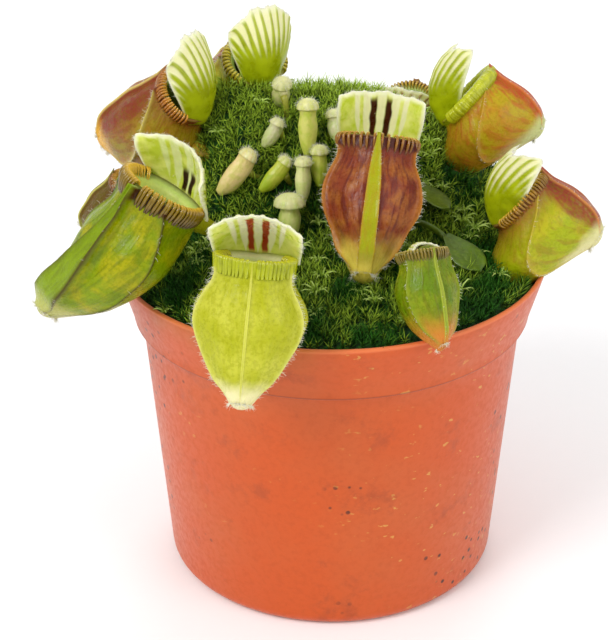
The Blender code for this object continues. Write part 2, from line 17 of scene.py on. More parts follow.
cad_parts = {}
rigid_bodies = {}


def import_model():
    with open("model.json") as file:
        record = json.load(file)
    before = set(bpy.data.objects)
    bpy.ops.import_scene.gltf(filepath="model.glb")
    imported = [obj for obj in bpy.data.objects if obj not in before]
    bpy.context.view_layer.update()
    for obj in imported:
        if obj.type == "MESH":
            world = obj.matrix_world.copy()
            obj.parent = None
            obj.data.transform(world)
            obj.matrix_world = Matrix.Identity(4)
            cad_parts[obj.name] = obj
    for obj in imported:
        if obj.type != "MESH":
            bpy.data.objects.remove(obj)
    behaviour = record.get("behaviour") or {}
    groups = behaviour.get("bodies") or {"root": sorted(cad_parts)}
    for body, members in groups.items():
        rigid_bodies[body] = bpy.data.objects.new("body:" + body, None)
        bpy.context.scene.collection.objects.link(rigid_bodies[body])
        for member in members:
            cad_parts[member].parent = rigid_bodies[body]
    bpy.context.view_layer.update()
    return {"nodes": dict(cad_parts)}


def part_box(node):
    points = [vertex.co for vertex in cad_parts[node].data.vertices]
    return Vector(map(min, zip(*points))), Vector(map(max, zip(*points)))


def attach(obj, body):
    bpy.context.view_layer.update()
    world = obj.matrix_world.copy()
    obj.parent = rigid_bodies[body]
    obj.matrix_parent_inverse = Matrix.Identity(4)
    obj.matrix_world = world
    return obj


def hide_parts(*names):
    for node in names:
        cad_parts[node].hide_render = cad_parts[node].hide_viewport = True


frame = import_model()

bl_info = {
    "name": "Potted Pitcher Plant",
    "version": (1, 0, 0),
    "blender": (4, 5, 0),
    "location": "View3D > Sidebar > Pitcher Plant",
    "description": "Builds the leaves, moss, pot and stage of a potted pitcher plant",
    "category": "Object",
}

MM = 0.001
BODY = "root"
POT_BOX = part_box("pot")
CROWN_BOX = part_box("rootstock")
CROWN = (np.array(CROWN_BOX[0]) + np.array(CROWN_BOX[1])) / 2 / MM


# ---------------------------------------------------------------- colours
def rgb(red, green, blue):
    """Scene-linear colour from display values of 0 to 255."""
    levels = (value / 255 for value in (red, green, blue))
    return tuple(v / 12.92 if v <= 0.04045 else ((v + 0.055) / 1.055) ** 2.4 for v in levels)


def darker(colour, factor):
    return tuple(value * factor for value in colour)


class Palette(NamedTuple):
    """Colours of one pitcher, as display values, and how far each of them reaches."""

    body: tuple
    mottle: tuple
    blush: tuple
    toe: tuple
    strip: tuple
    edge: tuple
    rib: tuple
    rib_tip: tuple
    groove: tuple
    blush_from: float = 2.0
    blush_to: float = 3.0
    neck_blush: float = 0.0
    neck_reach: float = 0.34
    vein: float = 0.25
    toe_from: float = 0.87
    stripe: tuple = (96, 40, 22)
    lip: tuple = (206, 214, 120)
    lid_rib: tuple = (172, 182, 10)
    lid_tip: tuple = (166, 172, 66)
    pane: tuple = (232, 228, 178)
    stalk: tuple = (126, 132, 26)
    border: tuple = (214, 206, 110)

    def linear(self):
        """The same palette with scene-linear colours."""
        return Palette(*(rgb(*value) if isinstance(value, tuple) else value for value in self))


PALETTES = {
    "front_left": Palette(
        body=(172, 174, 22), mottle=(192, 192, 58), blush=(156, 164, 8), toe=(230, 222, 166),
        strip=(200, 202, 70), edge=(210, 208, 110), rib=(164, 172, 6), rib_tip=(200, 196, 40),
        groove=(170, 176, 30), neck_blush=0.8, vein=0.3, border=(214, 210, 100), stripe=(168, 56, 20),
        lip=(236, 236, 186), pane=(242, 238, 208), lid_rib=(186, 190, 40),
    ),
    "left": Palette(
        body=(124, 146, 0), mottle=(164, 158, 2), blush=(88, 104, 2), toe=(176, 178, 86),
        strip=(126, 150, 8), edge=(66, 58, 16), rib=(126, 100, 12), rib_tip=(222, 178, 50),
        groove=(62, 34, 12), neck_blush=0.45, vein=0.5, border=(74, 62, 16), stripe=(48, 20, 14),
        lip=(196, 216, 120), stalk=(110, 120, 20), pane=(220, 228, 156),
    ),
    "left_back": Palette(
        body=(150, 132, 20), mottle=(158, 112, 30), blush=(126, 44, 22), toe=(220, 166, 50),
        strip=(136, 50, 28), edge=(210, 190, 96), rib=(170, 104, 24), rib_tip=(224, 166, 60),
        groove=(112, 54, 16), blush_from=0.62, blush_to=0.86, neck_blush=0.6, vein=0.5,
        stalk=(146, 132, 30), border=(214, 194, 110),
    ),
    "left_low": Palette(
        body=(112, 116, 14), mottle=(126, 100, 20), blush=(96, 66, 14), toe=(140, 140, 50),
        strip=(104, 94, 20), edge=(106, 92, 30), rib=(140, 86, 18), rib_tip=(200, 150, 50),
        groove=(84, 50, 14), blush_from=0.5, blush_to=0.9, neck_blush=0.4, vein=0.3,
    ),
    "back": Palette(
        body=(150, 160, 14), mottle=(168, 172, 36), blush=(140, 60, 24), toe=(210, 206, 130),
        strip=(150, 90, 30), edge=(214, 206, 110), rib=(170, 150, 24), rib_tip=(216, 200, 70),
        groove=(120, 100, 14), blush_from=0.6, blush_to=0.9,
    ),
    "middle": Palette(
        body=(132, 54, 24), mottle=(160, 94, 34), blush=(88, 18, 18), toe=(222, 200, 80),
        strip=(158, 160, 8), edge=(172, 110, 30), rib=(150, 98, 24), rib_tip=(220, 180, 60),
        groove=(74, 24, 12), neck_blush=0.75, vein=0.75, stripe=(66, 26, 12), lid_rib=(190, 194, 20),
        toe_from=0.72, border=(176, 134, 36),
    ),
    "front_right": Palette(
        body=(100, 128, 4), mottle=(140, 150, 16), blush=(92, 70, 12), toe=(200, 122, 44),
        strip=(150, 160, 50), edge=(126, 140, 26), rib=(130, 110, 26), rib_tip=(200, 180, 90),
        groove=(88, 84, 16), neck_blush=0.3, vein=0.35, toe_from=0.66, pane=(226, 226, 190),
        border=(158, 172, 50),
    ),
    "right_back": Palette(
        body=(178, 156, 22), mottle=(184, 134, 26), blush=(176, 70, 30), toe=(196, 200, 130),
        strip=(178, 60, 30), edge=(190, 146, 44), rib=(188, 192, 30), rib_tip=(190, 198, 20),
        groove=(150, 158, 4), blush_from=0.9, blush_to=0.98, vein=0.5, stalk=(150, 62, 28),
        border=(206, 120, 60),
    ),
    "right": Palette(
        body=(158, 168, 8), mottle=(176, 172, 24), blush=(138, 54, 32), toe=(212, 206, 146),
        strip=(156, 60, 40), edge=(186, 166, 50), rib=(156, 112, 20), rib_tip=(228, 188, 60),
        groove=(104, 58, 16), blush_from=0.84, blush_to=0.96, neck_blush=1.0, neck_reach=0.5, vein=0.35,
        border=(196, 130, 70), stalk=(150, 164, 20),
    ),
    "back_right": Palette(
        body=(140, 130, 20), mottle=(156, 120, 30), blush=(140, 60, 26), toe=(196, 180, 110),
        strip=(140, 80, 30), edge=(200, 180, 100), rib=(150, 106, 24), rib_tip=(206, 170, 70),
        groove=(104, 60, 14), blush_from=0.5, blush_to=0.9, lid_rib=(150, 112, 50), lid_tip=(176, 146, 92),
        pane=(206, 192, 146), stripe=(120, 70, 40),
    ),
}


# ---------------------------------------------------------------- shapes of the leaves
# Outline of a jug of size 1: x (mm), z (share of its length), share of the belly factor that x takes
FRONT_OUTLINE = ((5.8, 0, 0), (5.9, -0.15, 0), (6.9, -0.42, 0), (6.8, -0.74, 0), (5.6, -0.97, 0))
BACK_OUTLINE = ((-5.8, 0, 0), (-6.8, -0.13, 0), (-9.6, -0.40, 1), (-7.2, -0.76, 1), (0.8, -1.03, 0))
HALF_WIDTHS = (7.2, 6.6, 8.2, 5.6, 1.2)
BUD_HALF_WIDTHS = (5.4, 5.0, 6.0, 4.8, 2.2)
MOUTH_HALF_DEPTH = 5.8
MOUTH_HALF_WIDTH = 7.2


class Pitcher(NamedTuple):
    """One full-grown pitcher: place and turn of its mouth, and its sizes (mm, degrees)."""

    mouth: tuple
    heading: float
    tilt: float
    roll: float
    length: float
    size: float
    belly: float
    crown: tuple  # heading (degrees) and height (mm) of its stalk's end on the crown
    twist: float = 0.0
    bend: float = 0.0
    lid: tuple = (14.0, 70.0, 0.9)  # length (mm), opening (degrees), curl
    cup: float = 5.2
    strip: tuple = (0.6, 1.1, 1.2)
    keel: float = 0.8
    corner: float = 0.9
    wing: float = 1.1
    wing_degrees: tuple = (63.0, 63.0)  # from the keel, near the mouth and near the toe
    widths: tuple = HALF_WIDTHS
    detour: tuple = None
    inner_green: tuple = (176, 204, 110)
    hinge: float = 0.58
    side_cut: float = 0.45
    cut_power: float = 2.0
    hinge_back: float = 0.0
    back_shift: float = 0.0
    stalk_depth: float = 0.2
    stalk_swell: float = 2.0
    fuzz: float = 1.0
    ribs: int = 34
    rib_scale: float = 1.0
    rib_rise: float = 1.0
    rib_out: float = 1.0
    rib_span: float = 128.0
    lid_width: float = 7.6
    lid_far: float = 1.0
    lid_base: float = 0.35
    stripe_end: float = 0.86
    stripe_middle: float = 0.19


# What the two pitchers share that hang over the right of the pot
RIGHT_PAIR = dict(strip=(0.8, 1.3, 1.2), corner=1.3, wing=0.6, side_cut=0.4, lid_far=0.5, fuzz=0.4)

PITCHERS = {
    "front_left": Pitcher(
        (-12.4, -39.9, 80.6), -92, 18, -5, 23.9, 1.00, 0.92, (-116, 63), lid=(14, 60, 0.9),
        strip=(0.03, 0.1, 0.16, 0.1, 0.03), keel=0.3, corner=0.0, wing=0.7, widths=(6.9, 6.7, 9.6, 6.2, 1.8),
        hinge=0.95, side_cut=0.16, cut_power=3.0, cup=4.6, ribs=44, rib_rise=0.3, rib_out=-0.9,
        rib_scale=1.45, inner_green=(216, 222, 150),
    ),
    "left": Pitcher(
        (-28.8, -22.6, 84.7), 232, 25, -16, 29.5, 1.14, 0.5, (-150, 69), -15, -7, lid=(11.6, 78, 0.8),
        strip=(0.3, 0.5, 1.3, 2.2, 1.4), keel=2.0, corner=0.5, wing=0.5, wing_degrees=(48, 100), cup=5.4,
        hinge=0.9, side_cut=0.25, ribs=46, rib_rise=1.2, rib_out=0.9, rib_scale=0.88, rib_span=116.0,
        fuzz=0.15, inner_green=(218, 230, 124), stripe_end=0.42, stripe_middle=0.12,
        detour=(-15.0, -13.0, 67.0),
    ),
    "left_back": Pitcher(
        (-26.8, 10.7, 89.6), 156, 49, 1, 21.7, 0.98, 1.2, (176, 76), lid=(17.5, 66, 1.25), side_cut=0.4,
        cup=5.4, strip=(0.8, 1.4, 1.2), corner=1.2, wing=0.9, wing_degrees=(48, 124), ribs=44, rib_scale=0.8,
        stalk_swell=2.6, stalk_depth=0.4,
    ),
    "left_low": Pitcher(
        (-36.6, -0.5, 75.8), 172, 35, 0, 12.6, 0.7, 0.9, (-172, 70), lid=(5, 60, 0.8), corner=1.6,
    ),
    "back": Pitcher(
        (-14.5, 22.0, 92.2), 125, 45, 0, 19.0, 0.90, 1.0, (130, 77), lid=(16, 76, 1.2), side_cut=0.4, cup=5.0,
    ),
    "middle": Pitcher(
        (8.2, -7.7, 87.9), -90, 29, -6, 24.3, 1.01, 1.0, (-8, 76), lid=(10.5, 74, 0.5), cup=4.0,
        strip=(0.25, 1.15, 1.1), keel=0.7, wing=1.0, widths=(7.0, 6.9, 8.9, 5.7, 2.0), hinge=0.9,
        side_cut=0.1, ribs=26, rib_scale=0.85, fuzz=0.7,
    ),
    "front_right": Pitcher(
        (15.3, -30.5, 77.0), -58, 30, -8, 16.1, 0.63, 1.0, (-72, 63), lid=(5.4, 52, 1.2), lid_width=5.2,
        fuzz=0.5, strip=(0.15, 0.4, 0.3), detour=(19.0, -16.0, 70.0), hinge=0.9, side_cut=0.2,
    ),
    "right_back": Pitcher(
        (26.3, 13.4, 89.5), 3, 49, -14, 14.2, 0.84, 1.3, (10, 71), lid=(16, 82, 1.7), cup=10.5, ribs=66,
        lid_base=0.55, stalk_swell=2.6, wing_degrees=(44, 140), rib_scale=2.1, hinge_back=3.8, back_shift=3.4,
        stalk_depth=0.62, **RIGHT_PAIR,
    ),
    "right": Pitcher(
        (34.5, -6.5, 77.1), 0, 50, -10, 15.1, 0.90, 1.62, (-40, 67), lid=(15.6, 74, 1.6), cup=10.4, ribs=44,
        lid_base=0.6, stalk_swell=3.2, wing_degrees=(48, 132), rib_scale=0.85, hinge_back=2.6, back_shift=2.6,
        stalk_depth=0.5, **RIGHT_PAIR,
    ),
    "back_right": Pitcher(
        (15.0, 25.0, 82.0), 65, 45, 0, 16.0, 0.80, 1.0, (55, 74), lid=(9, 80, 0.8), fuzz=2.0,
    ),
}


class Bud(NamedTuple):
    """One young pitcher whose lid is still shut."""

    top: tuple
    heading: float
    tilt: float
    length: float
    size: float
    crown: tuple
    colour: tuple
    cap: float = 1.0


BUDS = {
    1: Bud((-15.5, 3.0, 80.1), 205, 38, 8.2, 0.30, (-140, 76), (232, 206, 146), 0.95),
    2: Bud((-8.7, 1.5, 79.6), 205, 40, 6.4, 0.24, (-118, 73), (186, 192, 66), 0.9),
    3: Bud((-5.1, -0.2, 80.2), -95, 6, 7.0, 0.25, (-98, 70), (228, 226, 162), 0.95),
    4: Bud((-2.2, 2.6, 81.2), -88, 8, 6.0, 0.26, (-76, 73), (196, 200, 90), 0.95),
    5: Bud((-4.3, 6.4, 88.5), -92, 8, 8.6, 0.30, (-100, 79), (214, 212, 112)),
    6: Bud((-7.5, -6.0, 74.8), -90, 6, 6.4, 0.34, (-96, 67), (220, 224, 142), 1.25),
    7: Bud((-10.1, 8.0, 84.6), 210, 30, 4.6, 0.22, (-165, 78), (206, 200, 160)),
    8: Bud((-9.2, 14.0, 90.0), 110, 20, 5.0, 0.28, (140, 79.3), (196, 190, 136)),
    9: Bud((0.5, 9.0, 85.8), -70, 20, 4.6, 0.24, (-40, 79.3), (216, 212, 170)),
}


class Blade(NamedTuple):
    """One plain spoon-shaped leaf."""

    tip: tuple
    heading: float
    length: float
    half_width: float
    crown: tuple
    colour: tuple


BLADES = {
    1: Blade((21.5, -3.0, 72.5), -35, 9.0, 2.6, (-22, 70), (92, 114, 22)),
    2: Blade((26.5, -16.5, 66.6), -50, 10.0, 3.4, (-56, 65.5), (82, 108, 20)),
}

# Moss cushion (mm)
MOSS_EDGE_HEIGHT = 61.8
MOSS_RISE = 30.0
MOSS_FRONT_SHARE = 0.15
MOSS_SLOPE_START = -10.0
MOSS_SLOPE_LENGTH = 36.0
HUMMOCK_CENTRE = (-22.0, 17.0)
HUMMOCK_SPREAD = 7.0
HUMMOCK_RISE = 11.0
JUG_GAP = 0.5  # clearance between the cushion and a jug that presses on it
BARE_GAP = 2.5  # no shoots grow where a jug lies lower than this over the free cushion
TURF_SPLIT = 2.0  # y at which the turf is parted into a front and a back piece
TURF = {"Density": 3.0e6, "Smallest": 0.7, "Largest": 1.02, "Lean": 0.55}
TURF_SWAY = ((-1, -1, 1.1), (1, 1, 2.0))  # limits of the random lean of a shoot
TURF_SEED, STAR_SEED = 11, 77
SHOOT_KINDS, SHOOT_LEAVES = 6, 9

# Long-leaved shoots that stand out of the turf: x, y, leaf length (mm)
STAR_SHOOTS = (
    (5.1, -22.6, 2.6), (24.1, -0.6, 3.0), (26.4, -2.6, 2.8), (30.2, -7.6, 2.8), (33.5, -10.5, 2.2),
    (-29.1, -24.9, 2.0), (-23.0, -6.9, 2.2),
)
STAR_COUNT, STAR_ARMS = 80, 9
STAR_RADII = np.array([0.2, 0.2, 0.14, 0.04])

# Camera and stage (m, degrees)
CAMERA_PLACE = (0.0, -0.3219, 0.2182)
CAMERA_WAY = (-0.0141, 0.8841, -0.4670)
CAMERA_ROLL = -0.33
LIGHT_AIM = (0.0, 0.0, 0.06)
LIGHTS = (  # name, place, size, share of the key light's power
    ("key", (-0.5, -0.5, 0.72), 0.45, 1.0),
    ("fill", (0.6, -0.45, 0.4), 0.6, 0.38),
    ("back", (0.1, 0.7, 0.6), 0.6, 0.4),
)
FLOOR_HALF = 3.0
SENSOR_WIDTH = 36.0  # of the camera (mm)
SKY_STRENGTH = 0.72


# ---------------------------------------------------------------- settings a user would change
def length_setting(name, description, millimetres):
    return bpy.props.FloatProperty(
        name=name, description=description, default=millimetres * MM, min=0.0, unit="LENGTH", precision=5
    )


def colour_setting(name, description, display):
    return bpy.props.FloatVectorProperty(
        name=name, description=description, default=rgb(*display), min=0.0, max=1.0, subtype="COLOR"
    )


class PitcherSettings(bpy.types.PropertyGroup):
    """Sizes and colours that all the pitchers share."""

    rib_radius: length_setting("Rib radius", "Thickest radius of a mouth rib on a leaf of size 1", 0.33)
    lid_thickness: length_setting("Lid thickness", "Thickness of a lid at its ribs", 0.62)
    wall: length_setting("Wall", "Thickness of a jug's wall", 0.8)
    hair_radius: length_setting("Hair radius", "Radius of a hair at its root", 0.03)
    hair_length: length_setting("Hair length", "Mean length of the hairs", 0.7)
    hair_colour: colour_setting("Hair", "Colour of the hairs", (236, 234, 214))
    window_colour: colour_setting("Window", "Clear panes of the lids", (238, 238, 196))


class MossSettings(bpy.types.PropertyGroup):
    """Sizes and colours of the moss."""

    spacing: length_setting("Spacing", "Least distance between two shoots", 0.8)
    shoot_height: length_setting("Shoot height", "Height of a typical shoot", 2.6)
    dark: colour_setting("Dark moss", "Colour of the shaded leaves", (42, 104, 14))
    bright: colour_setting("Bright moss", "Colour of the youngest leaves", (174, 206, 58))
    base: colour_setting("Cushion", "Colour between the shoots", (8, 42, 6))


class PotSettings(bpy.types.PropertyGroup):
    """Sizes and colours of the pot."""

    lip_radius: length_setting("Lip radius", "Rounding of the rim", 0.45)
    plastic: colour_setting("Plastic", "Colour of the pot", (198, 80, 18))
    faded: colour_setting("Faded plastic", "Colour where the pot has faded", (192, 94, 44))
    soil: colour_setting("Soil", "Colour of the soil", (46, 34, 24))


class StageSettings(bpy.types.PropertyGroup):
    """Floor, lights and camera."""

    floor_colour: colour_setting("Floor", "Colour of the floor", (253, 254, 255))
    key_power: bpy.props.FloatProperty(
        name="Key light", description="Power of the main soft light", default=4.6, min=0.0, unit="POWER"
    )
    focal_length: bpy.props.FloatProperty(
        name="Focal length", description="Focal length of the camera", default=107.9, min=1.0, unit="CAMERA"
    )


# ---------------------------------------------------------------- small helpers
def smoothstep(low, high, value):
    share = np.clip((value - low) / (high - low), 0.0, 1.0)
    return share * share * (3 - 2 * share)


def curve_through(points, place):
    """Points on the smooth curve through the rows of points, place running from 0 to 1."""
    points = np.asarray(points, float)
    padded = np.vstack([2 * points[0] - points[1], points, 2 * points[-1] - points[-2]])
    place = np.clip(np.asarray(place, float), 0, 1) * (len(points) - 1)
    index = np.minimum(place.astype(int), len(points) - 2)
    local = (place - index)[..., None]
    p0, p1, p2, p3 = (padded[index + k] for k in range(4))
    return 0.5 * (
        2 * p1 + (p2 - p0) * local + (2 * p0 - 5 * p1 + 4 * p2 - p3) * local**2
        + (3 * p1 - p0 - 3 * p2 + p3) * local**3
    )


def unit(vectors):
    return vectors / np.maximum(np.linalg.norm(vectors, axis=-1, keepdims=True), 1e-9)


def ripple(points, wavelength, seed):
    """A smooth wander between -1 and 1 over points, in the points' own unit."""
    draw = np.random.default_rng(seed)
    total = np.zeros(points.shape[:-1])
    for _ in range(5):
        way = unit(draw.normal(size=3))
        total += np.sin(points @ way * 2 * np.pi / wavelength / draw.uniform(0.7, 1.5) + draw.uniform(0, 6.28))
    return total / 3.2


def grid_faces(rows, columns, wrap, start=0):
    """Quads between the rows of a grid of vertices, seen from outside when rows run up."""
    row = np.arange(rows - 1)[:, None] * columns
    if wrap:
        here = np.arange(columns)
        there = np.roll(here, -1)
    else:
        here = np.arange(columns - 1)
        there = here + 1
    faces = np.stack([row + here, row + there, row + columns + there, row + columns + here], -1)
    return (faces.reshape(-1, 4) + start).tolist()


class Shell:
    """Vertices, faces and attributes collected for one mesh (mm)."""

    def __init__(self):
        self.points, self.faces, self.slots = [], [], []
        self.layers = {}
        self.count = 0

    def add(self, points, faces, slot=0, **layers):
        points = np.asarray(points, float).reshape(-1, 3)
        for name in set(self.layers) | set(layers):
            column = self.layers.setdefault(name, [np.zeros(self.count)])
            column.append(np.broadcast_to(np.ravel(layers.get(name, 0.0)), len(points)).astype(float))
        self.points.append(points)
        self.faces += [[i + self.count for i in face] for face in faces]
        self.slots += [slot] * len(faces)
        self.count += len(points)

    def make(self, name, materials):
        mesh = bpy.data.meshes.new(name)
        points = np.vstack(self.points) * MM
        mesh.from_pydata(points.tolist(), [], self.faces)
        for layer, columns in self.layers.items():
            mesh.attributes.new(layer, "FLOAT", "POINT").data.foreach_set("value", np.concatenate(columns))
        for material in materials:
            mesh.materials.append(material)
        mesh.polygons.foreach_set("material_index", self.slots)
        mesh.shade_smooth()
        mesh.update()
        return link(name, mesh)


def link(name, mesh):
    made = bpy.data.objects.new(name, mesh)
    bpy.context.scene.collection.objects.link(made)
    return made


def joined(name, parts):
    """One object from several, with their attributes and material slots."""
    with bpy.context.temp_override(
        active_object=parts[0], object=parts[0], selected_objects=parts, selected_editable_objects=parts
    ):
        bpy.ops.object.join()
    parts[0].name = name
    parts[0].data.name = name
    return parts[0]


# ---------------------------------------------------------------- node helpers
class Nodes:
    """Short words for building a node tree."""

    def __init__(self, tree):
        self.tree = tree

    def put(self, socket, value):
        if isinstance(value, bpy.types.NodeSocket):
            self.tree.links.new(value, socket)
        else:
            socket.default_value = value

    def fill(self, node, inputs):
        """Sets or links a node's inputs, by name or by number, and gives its outputs."""
        for key, value in inputs.items():
            self.put(node.inputs[key], value)
        return node.outputs

    def add(self, kind, inputs=None, **settings):
        node = self.tree.nodes.new(kind)
        for key, value in settings.items():
            setattr(node, key, value)
        return self.fill(node, inputs or {})

    def attribute(self, name):
        return self.add("ShaderNodeAttribute", attribute_name=name)["Fac"]

    def math(self, operation, first, second=0.0):
        return self.add("ShaderNodeMath", {0: first, 1: second}, operation=operation)[0]

    def plus(self, first, second):
        return self.math("ADD", first, second)

    def times(self, first, second):
        return self.math("MULTIPLY", first, second)

    def mix(self, factor, first, second):
        """A colour between two, each a socket or a scene-linear tuple."""
        first, second = ((*value, 1.0) if isinstance(value, tuple) else value for value in (first, second))
        return self.add("ShaderNodeMix", {0: factor, 6: first, 7: second}, data_type="RGBA")[2]

    def ramp(self, factor, low, high, start=0.0, end=1.0):
        """Runs smoothly from start to end while the factor runs from low to high."""
        inputs = {"Value": factor, "From Min": low, "From Max": high, "To Min": start, "To Max": end}
        return self.add("ShaderNodeMapRange", inputs, interpolation_type="SMOOTHSTEP")["Result"]

    def noise(self, scale, detail=2.0, roughness=0.5, vector=None, distortion=0.0):
        inputs = {"Scale": scale, "Detail": detail, "Roughness": roughness, "Distortion": distortion,
                  "Vector": vector or self.place()}
        return self.add("ShaderNodeTexNoise", inputs)["Fac"]

    def cells(self, scale):
        return self.add("ShaderNodeTexVoronoi", {"Scale": scale, "Vector": self.place()})["Distance"]

    def place(self, stretch=(1, 1, 1), turn=(0, 0, 0)):
        """Object coordinates, stretched and turned."""
        coordinates = self.add("ShaderNodeTexCoord")["Object"]
        if stretch == (1, 1, 1) and turn == (0, 0, 0):
            return coordinates
        return self.add("ShaderNodeMapping", {"Vector": coordinates, "Scale": stretch, "Rotation": turn})["Vector"]

    def axis(self, letter):
        """One of the object coordinates (m)."""
        return self.add("ShaderNodeSeparateXYZ", {0: self.place()})[letter]

    def bump(self, height, distance, strength=1.0, below=None):
        inputs = {"Height": height, "Distance": distance, "Strength": strength}
        if below:
            inputs["Normal"] = below
        return self.add("ShaderNodeBump", inputs)["Normal"]

    def end(self, geometry, material):
        """Ends a geometry tree with plain geometry in one material."""
        real = self.add("GeometryNodeRealizeInstances", {"Geometry": geometry})["Geometry"]
        painted = self.add("GeometryNodeSetMaterial", {"Geometry": real, "Material": material})["Geometry"]
        self.add("NodeGroupOutput", {"Geometry": painted})


class Skin(Nodes):
    """The node tree of a new material."""

    def __init__(self, name):
        self.made = bpy.data.materials.new(name)
        self.made.use_nodes = True
        super().__init__(self.made.node_tree)

    def finish(self, colour, roughness, **inputs):
        """Fills the shader, whose input names are written with _ for a space, and gives the material."""
        named = {key.replace("_", " "): value for key, value in inputs.items()}
        shader = self.tree.nodes["Principled BSDF"]
        self.fill(shader, {"Base Color": colour, "Roughness": roughness, **named})
        return self.made


def flesh(weight, radius, scale):
    """Shader inputs for light that passes through plant tissue (m)."""
    return {"Subsurface_Weight": weight, "Subsurface_Radius": radius, "Subsurface_Scale": scale}


# ---------------------------------------------------------------- materials of the leaves
def leaf_material(name, colours, inner_green):
    """Skin of a jug: mottled body, blushed keel side, pale strip and edges, pale green throat darkened deeper down by
    painted shade.
    """
    n = Skin(name)
    depth, front, turn = (n.attribute(layer) for layer in ("depth", "front", "turn"))
    streak_place = n.add("ShaderNodeCombineXYZ", {0: n.times(turn, 9.0), 1: n.times(depth, 2.2)})[0]
    streaks = n.noise(2.6, 3.0, 0.6, streak_place, 0.4)
    blotches, grain = n.noise(260, 3.0, 0.55), n.noise(1500, 2.0, 0.6)
    body = n.mix(n.ramp(blotches, 0.36, 0.66), colours.body, colours.mottle)
    body = n.mix(n.times(n.ramp(streaks, 0.44, 0.64), colours.vein), body, colours.blush)
    blush = n.ramp(n.plus(front, n.times(streaks, 0.12)), colours.blush_from + 0.06, colours.blush_to + 0.06)
    body = n.mix(n.times(blush, n.ramp(blotches, 0.2, 0.6, 0.78, 1.0)), body, colours.blush)
    neck = n.ramp(n.plus(depth, n.times(streaks, 0.2)), colours.neck_reach + 0.1, 0.14)
    body = n.mix(n.times(neck, colours.neck_blush), body, colours.blush)
    body = n.mix(n.ramp(grain, 0.6, 0.32, 0.0, 0.35), body, darker(colours.body, 0.62))
    body = n.mix(n.ramp(n.plus(depth, n.times(blotches, 0.15)), colours.toe_from, 1.04), body, colours.toe)
    strip = n.mix(n.ramp(streaks, 0.4, 0.7, 0.0, 0.35), colours.strip, colours.edge)
    body = n.mix(n.times(n.attribute("strip"), n.ramp(depth, 0.99, 0.8)), body, strip)
    body = n.mix(n.attribute("edge"), body, colours.edge)
    body = n.mix(n.attribute("border"), body, colours.border)
    throat = n.mix(n.ramp(blotches, 0.3, 0.7, 0.0, 0.4), rgb(*inner_green), rgb(206, 220, 140))
    throat = n.mix(n.ramp(depth, 0.07, 0.02), throat, colours.lip)
    # painted shade: the throat colour darkens to dull olive deeper inside the jug
    throat = n.mix(n.ramp(depth, 0.24, 0.6), throat, rgb(104, 108, 30))
    body = n.mix(n.attribute("inner"), body, throat)
    body = n.mix(n.attribute("groove"), body, colours.groove)
    body = n.mix(n.attribute("stalk"), body, n.mix(streaks, colours.stalk, colours.mottle))
    return n.finish(
        body, n.ramp(grain, 0.3, 0.7, 0.2, 0.42), Specular_IOR_Level=0.2, **flesh(0.12, (1.0, 1.2, 0.3), 0.0012),
        Normal=n.bump(streaks, 0.0005, 0.35, n.bump(n.noise(520, 3.0), 0.0003, 0.6)),
    )


def lid_material(name, colours, window):
    """Skin of a lid: green ribs, clear panes, dark stripes inside and a pale fringe."""
    n = Skin(name)
    blotches = n.noise(420, 3.0, 0.55)
    rib = n.mix(n.ramp(blotches, 0.3, 0.7), darker(colours.lid_rib, 0.72), colours.lid_rib)
    rib = n.mix(n.ramp(n.attribute("share"), 0.45, 0.95, 0.0, 0.8), rib, colours.lid_tip)
    inside = n.mix(n.ramp(blotches, 0.35, 0.7), rgb(198, 208, 70), rgb(226, 228, 134))
    rib = n.mix(n.attribute("inner"), rib, inside)
    pane = n.mix(n.ramp(blotches, 0.3, 0.75, 0.0, 0.5), colours.pane, tuple(window))
    colour = n.mix(n.attribute("window"), rib, pane)
    colour = n.mix(n.attribute("stripe"), colour, colours.stripe)
    colour = n.mix(n.attribute("margin"), colour, rgb(226, 226, 190))
    return n.finish(
        colour, n.ramp(blotches, 0.3, 0.7, 0.24, 0.4), Specular_IOR_Level=0.25,
        **flesh(0.6, (1.0, 1.2, 0.6), 0.0015), Normal=n.bump(n.noise(900, 2.0), 0.0001, 0.4),
    )


def rib_material(name, colours):
    """Glossy mouth ribs, paler towards their tips."""
    n = Skin(name)
    along, blotches = n.attribute("along"), n.noise(900, 2.0)
    colour = n.mix(n.ramp(blotches, 0.35, 0.65), colours.rib, darker(colours.rib, 0.75))
    colour = n.mix(n.ramp(along, 0.32, 0.05, 0.0, 0.75), colour, colours.groove)
    colour = n.mix(n.ramp(along, 0.42, 0.75), colour, colours.rib_tip)
    return n.finish(colour, n.ramp(blotches, 0.3, 0.7, 0.12, 0.24), Specular_IOR_Level=0.35, Coat_Weight=0.35,
                    Coat_Roughness=0.08)


def hair_material(settings):
    """The one material of every hair, paler towards the tips."""
    name = "leaf_hair"
    if name in bpy.data.materials:
        return bpy.data.materials[name]
    n = Skin(name)
    colour = tuple(settings.hair_colour)
    return n.finish(n.mix(n.plus(n.attribute("along"), n.noise(800)), darker(colour, 0.8), colour), 0.55)


def bud_material(name, colour):
    """Pale, faintly ribbed skin of a young pitcher."""
    n = Skin(name)
    blotches = n.noise(700, 3.0)
    greener = rgb(colour[0] - 26, colour[1] - 10, max(colour[2] - 42, 10))
    skin = n.mix(n.ramp(blotches, 0.35, 0.7), rgb(*colour), greener)
    skin = n.mix(n.ramp(n.attribute("depth"), 0.5, 1.0, 0.0, 0.6), skin, greener)
    skin = n.mix(n.attribute("window"), skin, rgb(222, 220, 160))
    skin = n.mix(n.attribute("stalk"), skin, rgb(150, 150, 50))
    return n.finish(skin, n.ramp(blotches, 0.3, 0.7, 0.32, 0.5), **flesh(0.2, (1.0, 1.0, 0.5), 0.001),
                    Normal=n.bump(n.noise(1800, 2.0), 0.0002, 0.5))


